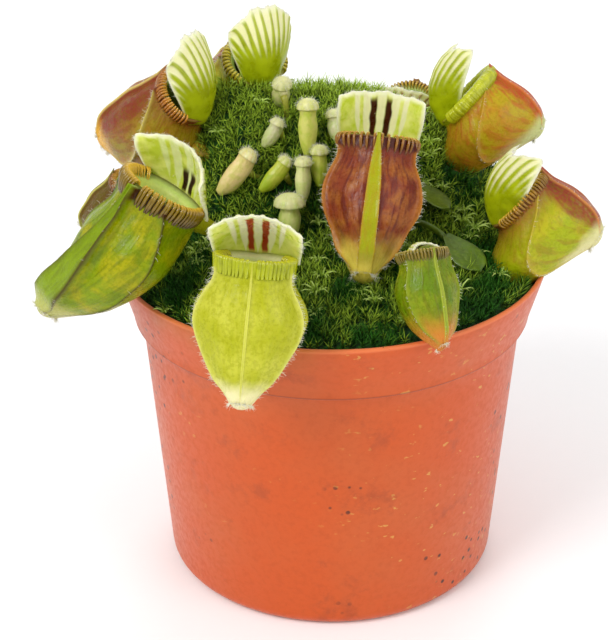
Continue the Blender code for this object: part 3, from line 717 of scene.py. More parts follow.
def blade_material(name, colour):
    n = Skin(name)
    blotches, base = n.noise(500, 3.0), rgb(*colour)
    skin = n.mix(n.ramp(blotches, 0.3, 0.7), base, darker(base, 0.6))
    skin = n.mix(n.ramp(n.noise(1600), 0.5, 0.8, 0.0, 0.4), skin, rgb(126, 144, 50))
    return n.finish(skin, n.ramp(blotches, 0.3, 0.7, 0.3, 0.5), Normal=n.bump(n.noise(900), 0.0003, 0.5))


# ---------------------------------------------------------------- geometry node trees
def new_tree(name, **inputs):
    """A geometry tree with a Geometry input and output and the named inputs, and its identifiers."""
    tree = bpy.data.node_groups.new(name, "GeometryNodeTree")
    for way in ("INPUT", "OUTPUT"):
        tree.interface.new_socket("Geometry", in_out=way, socket_type="NodeSocketGeometry")
    names = {
        label: tree.interface.new_socket(label, in_out="INPUT", socket_type="NodeSocket" + kind).identifier
        for label, kind in inputs.items()
    }
    return tree, names


def sweep_tree():
    """Sweeps a round profile along every chain of edges, as thick as its points say."""
    tree, names = new_tree("sweep_lines", Sides="Int", Scale="Float", Material="Material")
    n = Nodes(tree)
    source = n.add("NodeGroupInput")
    lines = n.add("GeometryNodeMeshToCurve", {"Mesh": source["Geometry"]})
    width = n.add("GeometryNodeInputNamedAttribute", {"Name": "width"}, data_type="FLOAT")
    circle = {"Resolution": source["Sides"], "Radius": source["Scale"]}
    profile = n.add("GeometryNodeCurvePrimitiveCircle", circle, mode="RADIUS")
    sweep = n.add("GeometryNodeCurveToMesh", {
        "Curve": lines["Curve"], "Profile Curve": profile["Curve"], "Scale": width["Attribute"], "Fill Caps": True,
    })
    smooth = n.add("GeometryNodeSetShadeSmooth", {"Geometry": sweep["Mesh"]})
    n.end(smooth["Geometry"], source["Material"])
    return tree, names


def turf_tree():
    """Plants shoots from a collection all over a surface."""
    tree, names = new_tree(
        "moss_turf", Shoots="Collection", Spacing="Float", Density="Float", Smallest="Float", Largest="Float",
        Lean="Float", Seed="Int", Material="Material",
    )
    n = Nodes(tree)
    source = n.add("NodeGroupInput")
    cover = n.add("GeometryNodeInputNamedAttribute", {"Name": "cover"}, data_type="FLOAT")
    spread = n.add("GeometryNodeDistributePointsOnFaces", {
        "Mesh": source["Geometry"], "Distance Min": source["Spacing"], "Density Max": source["Density"],
        "Density Factor": cover["Attribute"], "Seed": source["Seed"],
    }, distribute_method="POISSON")
    sway = n.add("FunctionNodeRandomValue", {0: TURF_SWAY[0], 1: TURF_SWAY[1], "Seed": source["Seed"]},
                 data_type="FLOAT_VECTOR")
    lean = n.add("ShaderNodeVectorMath", {0: sway[0], "Scale": source["Lean"]}, operation="SCALE")
    way = n.add("ShaderNodeVectorMath", {0: spread["Normal"], 1: lean[0]}, operation="ADD")
    align = n.add("FunctionNodeAlignRotationToVector", {"Vector": way[0]}, axis="Z")
    angle = n.add("FunctionNodeRandomValue", {2: 0.0, 3: 2 * math.pi}, data_type="FLOAT")
    spin = n.add("FunctionNodeAxisAngleToRotation", {"Axis": (0, 0, 1), "Angle": angle[1]})
    rotate = n.add("FunctionNodeRotateRotation", {"Rotation": align[0], "Rotate By": spin[0]},
                   rotation_space="LOCAL")
    size = n.add("FunctionNodeRandomValue", {2: source["Smallest"], 3: source["Largest"]}, data_type="FLOAT")
    shoots = n.add("GeometryNodeCollectionInfo", {
        "Collection": source["Shoots"], "Separate Children": True, "Reset Children": True,
    })
    plant = n.add("GeometryNodeInstanceOnPoints", {
        "Points": spread["Points"], "Instance": shoots[0], "Pick Instance": True, "Rotation": rotate[0],
        "Scale": size[1],
    })
    tint = n.add("FunctionNodeRandomValue", data_type="FLOAT")
    store = n.add("GeometryNodeStoreNamedAttribute", {
        "Geometry": plant["Instances"], "Name": "tint", "Value": tint[1],
    }, data_type="FLOAT", domain="INSTANCE")
    n.end(store["Geometry"], source["Material"])
    return tree, names


TREES = {}


def grown(name, seed_object, maker, values):
    """The plain mesh object that a geometry tree makes from another object, which is removed."""
    if maker not in TREES:
        TREES[maker] = maker()
    tree, names = TREES[maker]
    modifier = seed_object.modifiers.new("grow", "NODES")
    modifier.node_group = tree
    for label, value in values.items():
        modifier[names[label]] = value
    graph = bpy.context.evaluated_depsgraph_get()
    graph.update()
    mesh = bpy.data.meshes.new_from_object(seed_object.evaluated_get(graph))
    mesh.name = name
    bpy.data.objects.remove(seed_object, do_unlink=True)
    return link(name, mesh)


def swept(name, lines, radii, sides, material):
    """Tubes along lines, an array of (count, points, 3), with a radius at each point (mm)."""
    count, steps = lines.shape[:2]
    mesh = bpy.data.meshes.new(name + "_lines")
    first = np.arange(count)[:, None] * steps + np.arange(steps - 1)
    edges = np.stack([first, first + 1], -1).reshape(-1, 2)
    mesh.from_pydata((lines.reshape(-1, 3) * MM).tolist(), edges.tolist(), [])
    for layer, values in (("width", radii * MM), ("along", np.linspace(0, 1, steps))):
        values = np.ravel(np.broadcast_to(values, (count, steps))).astype(float)
        mesh.attributes.new(layer, "FLOAT", "POINT").data.foreach_set("value", values)
    values = {"Sides": sides, "Scale": 1.0, "Material": material}
    return grown(name, link(name + "_lines", mesh), sweep_tree, values)


def grow_hairs(name, lines, taper, settings):
    """Hairs along guide lines, thinning from root to tip by the taper."""
    radii = np.array(taper) * settings.hair_radius / MM
    return swept(name + "_hairs", lines, radii, 3, hair_material(settings))


# ---------------------------------------------------------------- closed sheets, tubes and stalks
CROWN_REACH = 3.0  # distance of a stalk's end from the middle of the crown (mm)
HANDLE = 0.35  # share of a stalk's span that pulls on each of its ends


def sheet(shell, over, under, slot=0, flip=False, **layers):
    """A closed sheet between two grids of points. A layer is one value or a pair, over and under."""
    rows, columns = over.shape[:2]
    start = rows * columns
    border = ([(0, c) for c in range(columns)] + [(r, columns - 1) for r in range(1, rows)]
              + [(rows - 1, c) for c in range(columns - 2, -1, -1)] + [(r, 0) for r in range(rows - 2, 0, -1)])
    loop = [r * columns + c for r, c in border]
    faces = grid_faces(rows, columns, False)
    faces += [face[::-1] for face in grid_faces(rows, columns, False, start)]
    faces += [[a, start + a, start + b, b] for a, b in zip(loop, loop[1:] + loop[:1])]
    if flip:
        faces = [face[::-1] for face in faces]
    pairs = {key: np.concatenate([np.ravel(side) for side in pair]) for key, pair in layers.items()}
    shell.add(np.concatenate([over.reshape(-1, 3), under.reshape(-1, 3)]), faces, slot, **pairs)


def tube(shell, path, radii, sides, flat=1.0, **layers):
    """A tapering tube along a path with both ends closed. flat widens it sideways."""
    way = unit(np.gradient(path, axis=0))
    across = unit(np.cross(way, [0, 0, 1.0]) + 1e-6)
    above = np.cross(across, way)
    angle = np.linspace(0, 2 * np.pi, sides, endpoint=False)
    ring = np.cos(angle)[:, None] * across[:, None] * flat + np.sin(angle)[:, None] * above[:, None]
    points = path[:, None] + ring * radii[:, None, None]
    faces = [face[::-1] for face in grid_faces(len(path), sides, True)]
    count = len(path) * sides
    faces += [[k, (k + 1) % sides, count] for k in range(sides)]
    last = count - sides
    faces += [[last + (k + 1) % sides, last + k, count + 1] for k in range(sides)]
    shell.add(np.vstack([points.reshape(-1, 3), path[0], path[-1]]), faces, **layers)


def stalk_path(start, way, crown, steps, lifts=(0.0, 0.0), detour=None):
    """Points from a leaf to the crown, and how far along each lies. lifts raise the two ends' handles."""
    degrees, height = crown
    inward = np.array([math.cos(math.radians(degrees)), math.sin(math.radians(degrees)), 0.0])
    end = np.array([CROWN[0], CROWN[1], height]) + inward * CROWN_REACH
    span = np.linalg.norm(end - start)
    first = start + way * span * HANDLE + [0, 0, lifts[0]] if detour is None else np.array(detour)
    last = end + inward * span * HANDLE + [0, 0, lifts[1]]
    t = np.linspace(0, 1, steps)[:, None]
    path = start * (1 - t) ** 3 + first * 3 * t * (1 - t) ** 2 + last * 3 * t**2 * (1 - t) + end * t**3
    return path, t[:, 0]


# ---------------------------------------------------------------- one pitcher
def leaf_axes(heading, tilt, roll):
    """Rows: a leaf's front, side and out-of-mouth directions in the world."""
    h, t, r = (math.radians(v) for v in (heading, tilt, roll))
    out = np.array([math.cos(h), math.sin(h), 0.0])
    side = np.array([-math.sin(h), math.cos(h), 0.0])
    up = np.array([0.0, 0.0, 1.0])
    front = out * math.cos(t) + up * math.sin(t)
    lift = up * math.cos(t) - out * math.sin(t)
    return np.array(
        [front, side * math.cos(r) + lift * math.sin(r), lift * math.cos(r) - side * math.sin(r)]
    )


def jug_section(leaf, depth):
    """Front point, back point (x, z) and half width of a jug at its depths."""
    outlines = []
    for outline in (FRONT_OUTLINE, BACK_OUTLINE):
        points = [
            (x * leaf.size * (1 + (leaf.belly - 1) * share) - leaf.back_shift * (x < 0), z * leaf.length)
            for x, z, share in outline
        ]
        outlines.append(curve_through(points, depth))
    widths = curve_through([(w * leaf.size, 0) for w in leaf.widths], depth)[..., 0]
    return outlines[0], outlines[1], widths


def jug_points(leaf, depth, angle, out=0.0, inset=0.0, scale=1.0, lift=0.0):
    """Points of a jug's wall in its own axes. depth and angle are arrays of one shape."""
    front, back, half_width = jug_section(leaf, depth)
    centre, reach = (front + back) / 2, (front - back) / 2
    half_depth = np.linalg.norm(reach, axis=-1)
    along = reach / half_depth[..., None]
    deep = (half_depth * scale - inset) * np.cos(angle)
    wide = (half_width * scale - inset) * np.sin(angle)
    way = unit(np.stack([np.cos(angle) / half_depth, np.sin(angle) / half_width], -1))
    deep = deep + way[..., 0] * out
    wide = wide + way[..., 1] * out
    x = centre[..., 0] + along[..., 0] * deep
    z = centre[..., 1] + along[..., 1] * deep + lift
    share = np.clip(-z / leaf.length, 0, 1.1)
    twist = math.radians(leaf.twist) * share
    return np.stack(
        [x * np.cos(twist) - wide * np.sin(twist),
         x * np.sin(twist) + wide * np.cos(twist) + leaf.bend * share**2.6,
         z], -1,
    )


def back_point(leaf, depth, inset):
    """A point just inside a jug's back, in its own axes, where its stalk starts."""
    return jug_points(leaf, np.array([depth]), np.array([np.pi]), inset=inset)[0]


JUG_DEPTHS = np.linspace(1, 0, 58) ** 1.12  # rows of a jug's wall, closer together near its mouth
STRIP_STATIONS = 5
WING_STATION = STRIP_STATIONS + 2 + 8 + 4  # after the strip, the flank, the wall between and half a wing
STRIP_RISE = (0.82, 0.84, 0.92, 1.12, 1.1, 0.45)
WING_RISE = (0.08, 0.22, 0.5, 0.86, 1.0, 0.86, 0.5, 0.22, 0.08)
BORDER_FROM, BORDER = 3, (0.5, 1.0)
CORNER_REACH = 0.035  # depth over which the raised front corner of a mouth fades
PUCKER_WAVE, PUCKER_HEIGHT = 4.5, 0.16
TOE_RINGS = ((0.0, -0.9), (0.3, -0.84), (0.6, -0.62), (0.85, -0.3))  # scale, drop
THROAT_DEPTHS = np.array([0.0, 0.02, 0.05, 0.09, 0.13, 0.17, 0.22, 0.28, 0.36, 0.46, 0.58, 0.7, 0.78])
THROAT_SCALES = np.interp(THROAT_DEPTHS, [0, 0.03, 0.17, 0.34, 1], [0.93, 0.76, 0.62, 0.94, 0.92])


def wall_stations(leaf):
    """Angles round a jug at each row, and the station of each column, counted from front to back.

    Stations lie close together at the edges of the strip and of the wing.
    """
    half_width = jug_section(leaf, JUG_DEPTHS)[2]
    strip_half = np.maximum(curve_through([(v * leaf.size, 0) for v in leaf.strip], JUG_DEPTHS)[:, 0], 0.03)
    strip_angle = np.arcsin(np.clip(strip_half / np.maximum(half_width, 0.1), 0, 0.75))
    wing_angle = np.radians(np.interp(JUG_DEPTHS, (0.1, 0.9), leaf.wing_degrees))
    near = half_width[:, None]
    strip = strip_angle[:, None] * np.array([0.0, 0.4, 0.72, 0.9, 1.0])
    flank = strip_angle[:, None] + np.array([0.12, 0.34]) / near
    wing = wing_angle[:, None] + np.array([-1.1, -0.6, -0.3, -0.13, 0.0, 0.13, 0.3, 0.6, 1.1]) / near
    between = flank[:, -1:] + (wing[:, :1] - flank[:, -1:]) * np.linspace(0, 1, 10)[1:-1]
    behind = wing[:, -1:] + (np.pi - wing[:, -1:]) * np.linspace(0, 1, 17)[1:]
    half = np.hstack([strip, flank, between, wing, behind])
    columns = half.shape[1]
    station = np.concatenate([np.arange(columns), np.arange(columns - 2, 0, -1)])
    return np.hstack([half, -half[:, -2:0:-1]]), station


def at_stations(station, first, values):
    """Each column's value on a run of stations, and 0 on the others."""
    profile = np.zeros(station.max() + 1)
    profile[first : first + len(values)] = values
    return profile[station]


def build_jug(shell, leaf, seed, wall):
    """Outer and inner wall of a jug, from its toe over the rim and down inside. Gives lines for its hairs."""
    angle, station = wall_stations(leaf)
    count = angle.shape[1]
    spread = np.broadcast_to(JUG_DEPTHS[:, None], angle.shape)
    off_toe = np.clip((1 - spread) * 5 + 0.3, 0, 1)
    fade = np.clip(spread * 7 + 0.25, 0, 1) * off_toe
    on_strip = (station < STRIP_STATIONS).astype(float)
    wing_shape = at_stations(station, WING_STATION - len(WING_RISE) // 2, WING_RISE)
    keel = at_stations(station, 0, STRIP_RISE) * leaf.keel * leaf.size * off_toe
    wing = wing_shape * leaf.wing * leaf.size * fade * smoothstep(1.0, 0.82, spread)
    pucker = ripple(jug_points(leaf, spread, angle), PUCKER_WAVE, seed) * PUCKER_HEIGHT * leaf.size * fade
    corner = leaf.corner * leaf.size * np.exp(-((spread / CORNER_REACH) ** 2)) * on_strip
    outer = jug_points(leaf, spread, angle, out=keel + wing + pucker, lift=corner)

    mouth_angle = angle[-1]
    zero = np.zeros_like(mouth_angle)
    toe = np.stack([jug_points(leaf, zero + 1.0, angle[0], scale=scale, lift=drop * leaf.size)
                    for scale, drop in TOE_RINGS])
    rim = np.stack([jug_points(leaf, zero, mouth_angle, out=0.12, lift=0.25 * leaf.size),
                    jug_points(leaf, zero, mouth_angle, inset=wall / 2, lift=0.42 * leaf.size)])
    inner = np.stack([jug_points(leaf, zero + depth, mouth_angle, inset=wall * (depth > 0.3), scale=scale)
                      for depth, scale in zip(THROAT_DEPTHS, THROAT_SCALES)])
    stack = np.concatenate([toe, outer, rim, inner])

    def column(values, on_toe=0.0, on_rim=0.0, inside=0.0):
        """A layer on the outer wall, carried on over the toe, the rim and the inner wall."""
        return np.concatenate([
            np.full((len(toe), count), on_toe), values, np.full((len(rim), count), on_rim),
            np.broadcast_to(inside, (len(inner), count)),
        ])

    def carried(values):
        """A layer on the outer wall whose end rows go on to both ends."""
        return np.concatenate([np.repeat(values[:1], len(toe), 0), values,
                               np.repeat(values[-1:], len(rim) + len(inner), 0)])

    layers = {
        "depth": column(spread, 1.0, 0.0, THROAT_DEPTHS[:, None]),
        "front": carried((1 + np.cos(angle)) / 2),
        "turn": carried(angle / np.pi),
        "strip": column(on_strip * (spread < 0.97)),
        "edge": column(wing_shape**2 * 0.95 * fade),
        "border": column(at_stations(station, BORDER_FROM, BORDER) * fade),
        "groove": column(smoothstep(0.16, 0.1, spread) * (1 - on_strip), 0.0, 0.6,
                         (THROAT_DEPTHS[:, None] < 0.01) * 0.4),
        "inner": column(np.zeros_like(angle), 0.0, 0.3, 1.0),
    }
    bottom = {"depth": 0.8, "inner": 1.0}
    faces = grid_faces(len(stack), count, True)
    base = len(stack) * count
    faces += [[base - count + k, base - count + (k + 1) % count, base] for k in range(count)]
    shell.add(np.vstack([stack.reshape(-1, 3), inner[-1].mean(0) + [0, 0, -0.4]]), faces,
              **{key: np.append(values, bottom.get(key, 0.0)) for key, values in layers.items()})
    return {
        "wing_left": outer[:, WING_STATION], "wing_right": outer[:, count - WING_STATION],
        "strip_left": outer[:, STRIP_STATIONS - 1], "strip_right": outer[:, count - STRIP_STATIONS + 1],
        "toe": outer[0],
    }


def lid_points(leaf, share, side):
    """Middle surface of a lid in its leaf's own axes."""
    length, opening, curl = leaf.lid
    side = np.where(side > 0, side * leaf.lid_far, side)
    along = length * share * (1 - leaf.side_cut * np.abs(side) ** leaf.cut_power * (0.2 + 0.8 * share))
    spread = np.sin(np.minimum(share * 1.5, 1) * np.pi / 2)
    lateral = leaf.lid_width * leaf.size * side * (leaf.hinge + (1 - leaf.hinge) * spread)
    bend = curl * along / length
    rise = np.sin(bend) * length / curl
    forward = (1 - np.cos(bend)) * length / curl
    forward = forward + leaf.cup * leaf.size * side**2 * (leaf.lid_base + 0.65 * np.sin(0.7 * np.pi * share))
    turn = math.radians(90 - opening)
    return np.stack(
        [forward * math.cos(turn) + rise * math.sin(turn) - MOUTH_HALF_DEPTH * leaf.size - leaf.hinge_back,
         lateral, rise * math.cos(turn) - forward * math.sin(turn)], -1,
    )


# Clear panes under a lid: middle and half width as shares of its half width, share where it starts
INNER_PANES = ((0.0, 0.11, 0.0), (0.35, 0.1, 0.0), (0.6, 0.06, 0.1))
PANE_STEP = 0.225
STRIPE_HALF_WIDTH = 0.08
SOFTNESS = 0.02
LID_ROWS, LID_COLUMNS = 40, 121
SCALLOP = 0.018
LID_RELIEF = 0.2  # how far the ribs on top of a lid stand over its panes (mm)


def fan_mask(share, side):
    """Clear panes on top of a lid: they fan out from its hinge and open near its edge."""
    fan = np.abs(side) / (0.3 + 0.9 * np.clip(share, 0, 1) ** 0.85)
    place = np.abs((fan / PANE_STEP + 0.5) % 1.0 - 0.5) * 2
    edge_share = np.maximum(share, np.abs(side) ** 1.3 * 0.93 * (0.35 + 0.65 * share))
    width = 0.3 + 0.36 * smoothstep(0.42, 0.85, edge_share)
    return smoothstep(width + 0.18, width - 0.18, place) * smoothstep(0.36, 0.62, edge_share)


def from_spine(share, side):
    """Distance from a lid's middle line, as a share of its half width."""
    return np.abs(side) / (0.72 + 0.28 * np.sqrt(np.clip(share, 0, 1)))


def band(distance, half_width):
    """1 within half a width, softening to 0 outside it."""
    return smoothstep(half_width + SOFTNESS, half_width - SOFTNESS, distance)


def pane_mask(share, side):
    """Clear panes under a lid."""
    total = np.zeros_like(side)
    for middle, half, start in INNER_PANES:
        reach = half * smoothstep(start - 0.02, start + 0.35, share) + 1e-4
        inside = band(np.abs(from_spine(share, side) - middle), reach) * smoothstep(start, start + 0.1, share)
        total = np.maximum(total, inside)
    return total


def build_lid(shell, leaf, seed, thickness):
    """A cupped, ribbed lid with clear panes and a scalloped edge. Gives its edge and the ways out of it."""
    rows, columns = LID_ROWS, LID_COLUMNS
    share = np.linspace(-0.03, 1, rows)[:, None] * np.ones((1, columns))
    side = np.linspace(-1, 1, columns)[None] * np.ones((rows, 1))
    sway = 0.02 * np.sin(share * 7 + side * 5 + seed) * share
    outside, inside = fan_mask(share, side + sway * np.sign(side)), pane_mask(share, side)
    scallop = 1 + SCALLOP * (0.5 - outside) * smoothstep(0.7, 1.0, share)
    wave = 0.02 * np.sin(side * 9 + seed) * smoothstep(0.6, 1.0, share)
    middle = lid_points(leaf, share * (scallop + wave), side)
    step = 0.004
    onward = lid_points(leaf, share + step, side) - lid_points(leaf, share - step, side)
    across = lid_points(leaf, share, side + step) - lid_points(leaf, share, side - step)
    normal = unit(np.cross(onward, across))
    rim = np.minimum(smoothstep(1.0, 0.93, share), smoothstep(1.0, 0.95, np.abs(side)))
    thick = thickness * (0.25 + 0.75 * rim)
    relief = (0.5 - outside) * LID_RELIEF * smoothstep(0.15, 0.5, share) * rim * leaf.size
    pucker = ripple(middle, 3.0, seed + 40) * 0.08
    outer = middle + normal * (thick / 2 + relief + pucker)[..., None]
    inner = middle - normal * (thick / 2 - relief * 0.4 - pucker)[..., None]
    jag = ripple(middle, 2.2, seed + 9) * 0.02
    stripe = band(np.abs(from_spine(share, side) - leaf.stripe_middle + jag), STRIPE_HALF_WIDTH)
    stripe = stripe * smoothstep(leaf.stripe_end + 0.09, leaf.stripe_end - 0.06, share) * smoothstep(0.02, 0.1, share)
    margin = 1 - np.minimum(smoothstep(1.0, 0.87, share), smoothstep(1.0, 0.92, np.abs(side)))
    zero = np.zeros_like(share)
    sheet(shell, outer, inner, 1, share=(share, share), window=(outside, inside), stripe=(zero, stripe),
          margin=(margin, margin), inner=(zero, zero + 1))
    top, flank = slice(4, -4), slice(rows // 3, None)
    edge = np.concatenate([outer[-1, top], outer[flank, 0], outer[flank, -1]])
    ways = np.concatenate([(outer[-1] - outer[-3])[top], outer[flank, 0] - outer[flank, 1],
                           outer[flank, -1] - outer[flank, -2]])
    return edge, ways


# A mouth rib from the neck over the rim to its hooked tip inside: depth, scale, out, lift, thickness
RIB_COURSE = (
    (0.19, 1.0, -0.25, 0.0, 0.5), (0.15, 1.0, 0.0, 0.0, 0.8), (0.1, 1.0, 0.16, 0.0, 0.95),
    (0.05, 1.0, 0.28, 0.1, 1.0), (0.015, 1.0, 0.3, 0.25, 1.0), (0.0, 0.99, 0.12, 0.62, 0.95),
    (0.0, 0.93, 0.0, 0.76, 0.8), (0.0, 0.86, 0.0, 0.6, 0.62), (0.01, 0.8, 0.0, 0.16, 0.42),
    (0.02, 0.76, 0.0, -0.4, 0.12),
)


def rib_lines(leaf, seed):
    """Guide lines of the mouth ribs, and their thickness at each point."""
    draw = np.random.default_rng(seed)
    angle = np.radians(np.linspace(-leaf.rib_span, leaf.rib_span, leaf.ribs))
    angle = angle[np.abs(angle) > math.radians(3)]
    angle = angle + draw.normal(0, 0.01, len(angle))
    lines = np.stack(
        [jug_points(leaf, angle * 0 + depth, angle, out=out * leaf.rib_out * leaf.size, scale=scale,
                    lift=lift * leaf.rib_rise * leaf.size)
         for depth, scale, out, lift, _ in RIB_COURSE], 1,
    )
    thick = np.array([step[-1] for step in RIB_COURSE])
    return lines, thick[None] * draw.uniform(0.85, 1.12, (len(angle), 1)) * leaf.rib_scale


# Hairs on a leaf of size 1, the share of a jug's length that bears them, and how far they stray from straight out
WING_HAIRS, STRIP_HAIRS, TOE_HAIRS, LID_HAIRS, BUD_HAIRS = 150, 40, 260, 150, 150
HAIRED_SHARE = 0.86
HAIR_SPREAD = 0.45
HAIR_ROOT = 0.08  # depth of a hair's root in the skin (mm)
HAIR_TAPER, BUD_HAIR_TAPER = (1.0, 0.75, 0.25), (0.9, 0.7, 0.25)


def fringe(points, outward_ways, count, mean, draw):
    """Hair guide lines that start at random places along rows of points."""
    pick = draw.uniform(0, len(points) - 1.001, count)
    index = pick.astype(int)
    local = (pick - index)[:, None]
    root = points[index] * (1 - local) + points[index + 1] * local
    way = outward_ways[index] * (1 - local) + outward_ways[index + 1] * local
    way = unit(unit(way) + draw.normal(0, HAIR_SPREAD, (count, 3)))
    length = mean * draw.uniform(0.5, 1.5, (count, 1))
    bend = unit(draw.normal(0, 1, (count, 3))) * length * 0.22
    root = root - way * HAIR_ROOT
    return np.stack([root, root + way * length * 0.5, root + way * length + bend], 1)


def leaf_hairs(leaf, guides, lid_edge, lid_ways, mean, seed):
    """Hairs along the wings, the strip, the toe and the lid of one pitcher, in its own axes."""
    draw = np.random.default_rng(seed + 7)
    front, back, _ = jug_section(leaf, JUG_DEPTHS)
    centre = np.insert((front + back) / 2, 1, 0.0, axis=1)
    haired = int(len(JUG_DEPTHS) * HAIRED_SHARE)
    on_wing, on_strip = WING_HAIRS * leaf.fuzz, STRIP_HAIRS * leaf.fuzz * (max(leaf.strip) > 0.3)
    hairs = []
    for name, count, scale in (("wing_left", on_wing, 1.0), ("wing_right", on_wing, 1.0),
                               ("strip_left", on_strip, 0.6), ("strip_right", on_strip, 0.6)):
        line, ways = guides[name], guides[name] - centre
        hairs.append(fringe(line[:haired], ways[:haired], int(count * leaf.size), mean * scale * leaf.size, draw))
    toe = guides["toe"]
    toe_ways = toe - toe.mean(0) + [0, 0, -1.2]
    hairs.append(fringe(toe, toe_ways, int(TOE_HAIRS * leaf.size), mean * 1.25 * leaf.size, draw))
    hairs.append(fringe(lid_edge, lid_ways, int(LID_HAIRS * leaf.size), mean * 0.8 * leaf.size, draw))
    return np.concatenate(hairs)


JUG_TREES = []  # one ray-casting tree for each jug, by which the moss yields to it


def make_pitcher(name, leaf, colours, settings):
    """One pitcher: jug, lid, stalk, ribs and hairs, joined as one piece."""
    seed = sum(ord(letter) for letter in name)
    axes = leaf_axes(leaf.heading, leaf.tilt, leaf.roll)
    shell = Shell()
    guides = build_jug(shell, leaf, seed, settings.wall / MM * leaf.size)
    lid_edge, lid_ways = build_lid(shell, leaf, seed, settings.lid_thickness / MM * max(leaf.size, 0.7))
    shell.points = [points @ axes + leaf.mouth for points in shell.points]
    jug = [face for face, slot in zip(shell.faces, shell.slots) if slot == 0]
    JUG_TREES.append(BVHTree.FromPolygons(np.vstack(shell.points).tolist(), jug))

    start = back_point(leaf, leaf.stalk_depth, 0.8) @ axes + leaf.mouth
    path, t = stalk_path(start, unit(np.array([-1, 0, 0.25]) @ axes), leaf.crown, 26, (2.0, 0.8), leaf.detour)
    swell = 1 + (leaf.stalk_swell - 1) * np.exp(-((t / 0.16) ** 2))
    tube(shell, path, 0.95 * max(leaf.size, 0.75) * swell, 14, flat=1.3, stalk=1.0)

    node = "pitcher_" + name
    body = shell.make(node + "_leaf", (leaf_material(node + "_skin", colours, leaf.inner_green),
                                       lid_material(node + "_lid", colours, settings.window_colour)))
    lines, thick = rib_lines(leaf, seed)
    ribs = swept(node + "_ribs", lines @ axes + leaf.mouth, thick * settings.rib_radius / MM * leaf.size, 8,
                 rib_material(node + "_ribs", colours))
    hairs = leaf_hairs(leaf, guides, lid_edge, lid_ways, settings.hair_length / MM, seed)
    fuzz = grow_hairs(node, hairs @ axes + leaf.mouth, HAIR_TAPER, settings)
    piece = joined(node + "_leaf", [body, ribs, fuzz])
    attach(piece, BODY)
    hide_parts(node)


# ---------------------------------------------------------------- young pitchers and plain leaves
def make_bud(number, bud, settings):
    """A young pitcher: a small ribbed jug under a shut, hairy cap, on its stalk."""
    name = f"young_pitcher_{number}"
    leaf = Pitcher(bud.top, bud.heading, bud.tilt, 0, bud.length, bud.size, 0.7, bud.crown, widths=BUD_HALF_WIDTHS)
    axes = leaf_axes(bud.heading, bud.tilt, 0)
    rows, cap_rows, columns = 26, 14, 48
    angle = np.linspace(0, 2 * np.pi, columns, endpoint=False)[None] * np.ones((rows, 1))
    depth = np.linspace(1, 0, rows)[:, None] * np.ones((1, columns))
    ribs = 0.05 * np.cos(angle * 16) * np.clip(1 - depth * 1.6, 0, 1)
    keels = 0.05 * (np.exp(-((np.sin(angle / 2) / 0.08) ** 2)) + 0.8 * np.exp(-((np.cos(angle) - 0.4) / 0.12) ** 2))
    jug = jug_points(leaf, depth, angle, out=ribs + keels * np.clip((1 - depth) * 4, 0, 1))

    round_cap = angle[:1]
    dome = np.linspace(0, 1, cap_rows)[:, None] * np.pi / 2
    lip = 1 + 0.03 * np.cos(round_cap * 14) * np.cos(dome)
    cap_depth, cap_width = MOUTH_HALF_DEPTH * bud.size * 1.08 * bud.cap, MOUTH_HALF_WIDTH * bud.size * 0.96 * bud.cap
    cap = np.stack(
        [np.cos(dome) ** 0.9 * np.cos(round_cap) * cap_depth * lip + 0.3 * bud.size,
         np.cos(dome) ** 0.9 * np.sin(round_cap) * cap_width * lip,
         np.sin(dome) * (6.6 * bud.size) + 0 * round_cap], -1,
    )
    panes = 0.35 * np.cos(round_cap * 7) * smoothstep(1.0, 0.4, np.sin(dome)) + 0.6

    base = (rows + cap_rows) * columns
    faces = grid_faces(rows + cap_rows, columns, True)
    faces += [[(k + 1) % columns, k, base] for k in range(columns)]
    faces += [[base - columns + k, base - columns + (k + 1) % columns, base + 1] for k in range(columns)]
    points = np.vstack([jug.reshape(-1, 3), cap.reshape(-1, 3), jug[0].mean(0) + [0, 0, -0.15], cap[-1].mean(0)])
    bare = np.zeros(cap.shape[:2])
    shell = Shell()
    shell.add(points @ axes + bud.top, faces, depth=np.concatenate([np.ravel(depth), np.ravel(bare), [1.0, 0.0]]),
              window=np.concatenate([0 * np.ravel(depth), np.ravel(panes), [0.0, 1.0]]), stalk=0.0)
    start = back_point(leaf, 0.35, 0.3) @ axes + bud.top
    path, t = stalk_path(start, unit(np.array([-1, 0, -0.4]) @ axes), bud.crown, 16)
    tube(shell, path, 0.55 + 0.25 * np.exp(-((t / 0.1) ** 2)), 10, depth=0.3, stalk=1.0)
    body = shell.make(name + "_leaf", (bud_material(name + "_skin", bud.colour),))

    draw = np.random.default_rng(500 + number)
    count = BUD_HAIRS
    crest = cap[2:11].reshape(-1, 3)
    ways = crest - cap.reshape(-1, 3).mean(0) + [0, 0, 0.3]
    picks = draw.integers(0, len(crest), count)
    tilt = unit(unit(ways[picks]) + draw.normal(0, 0.5, (count, 3)))
    long = settings.hair_length / MM * draw.uniform(0.35, 1.2, (count, 1))
    roots = crest[picks] - tilt * 0.05
    hairs = np.stack([roots, roots + tilt * long * 0.5, roots + tilt * long], 1) @ axes + bud.top
    piece = joined(name + "_leaf", [body, grow_hairs(name, hairs, BUD_HAIR_TAPER, settings)])
    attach(piece, BODY)
    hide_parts(name)


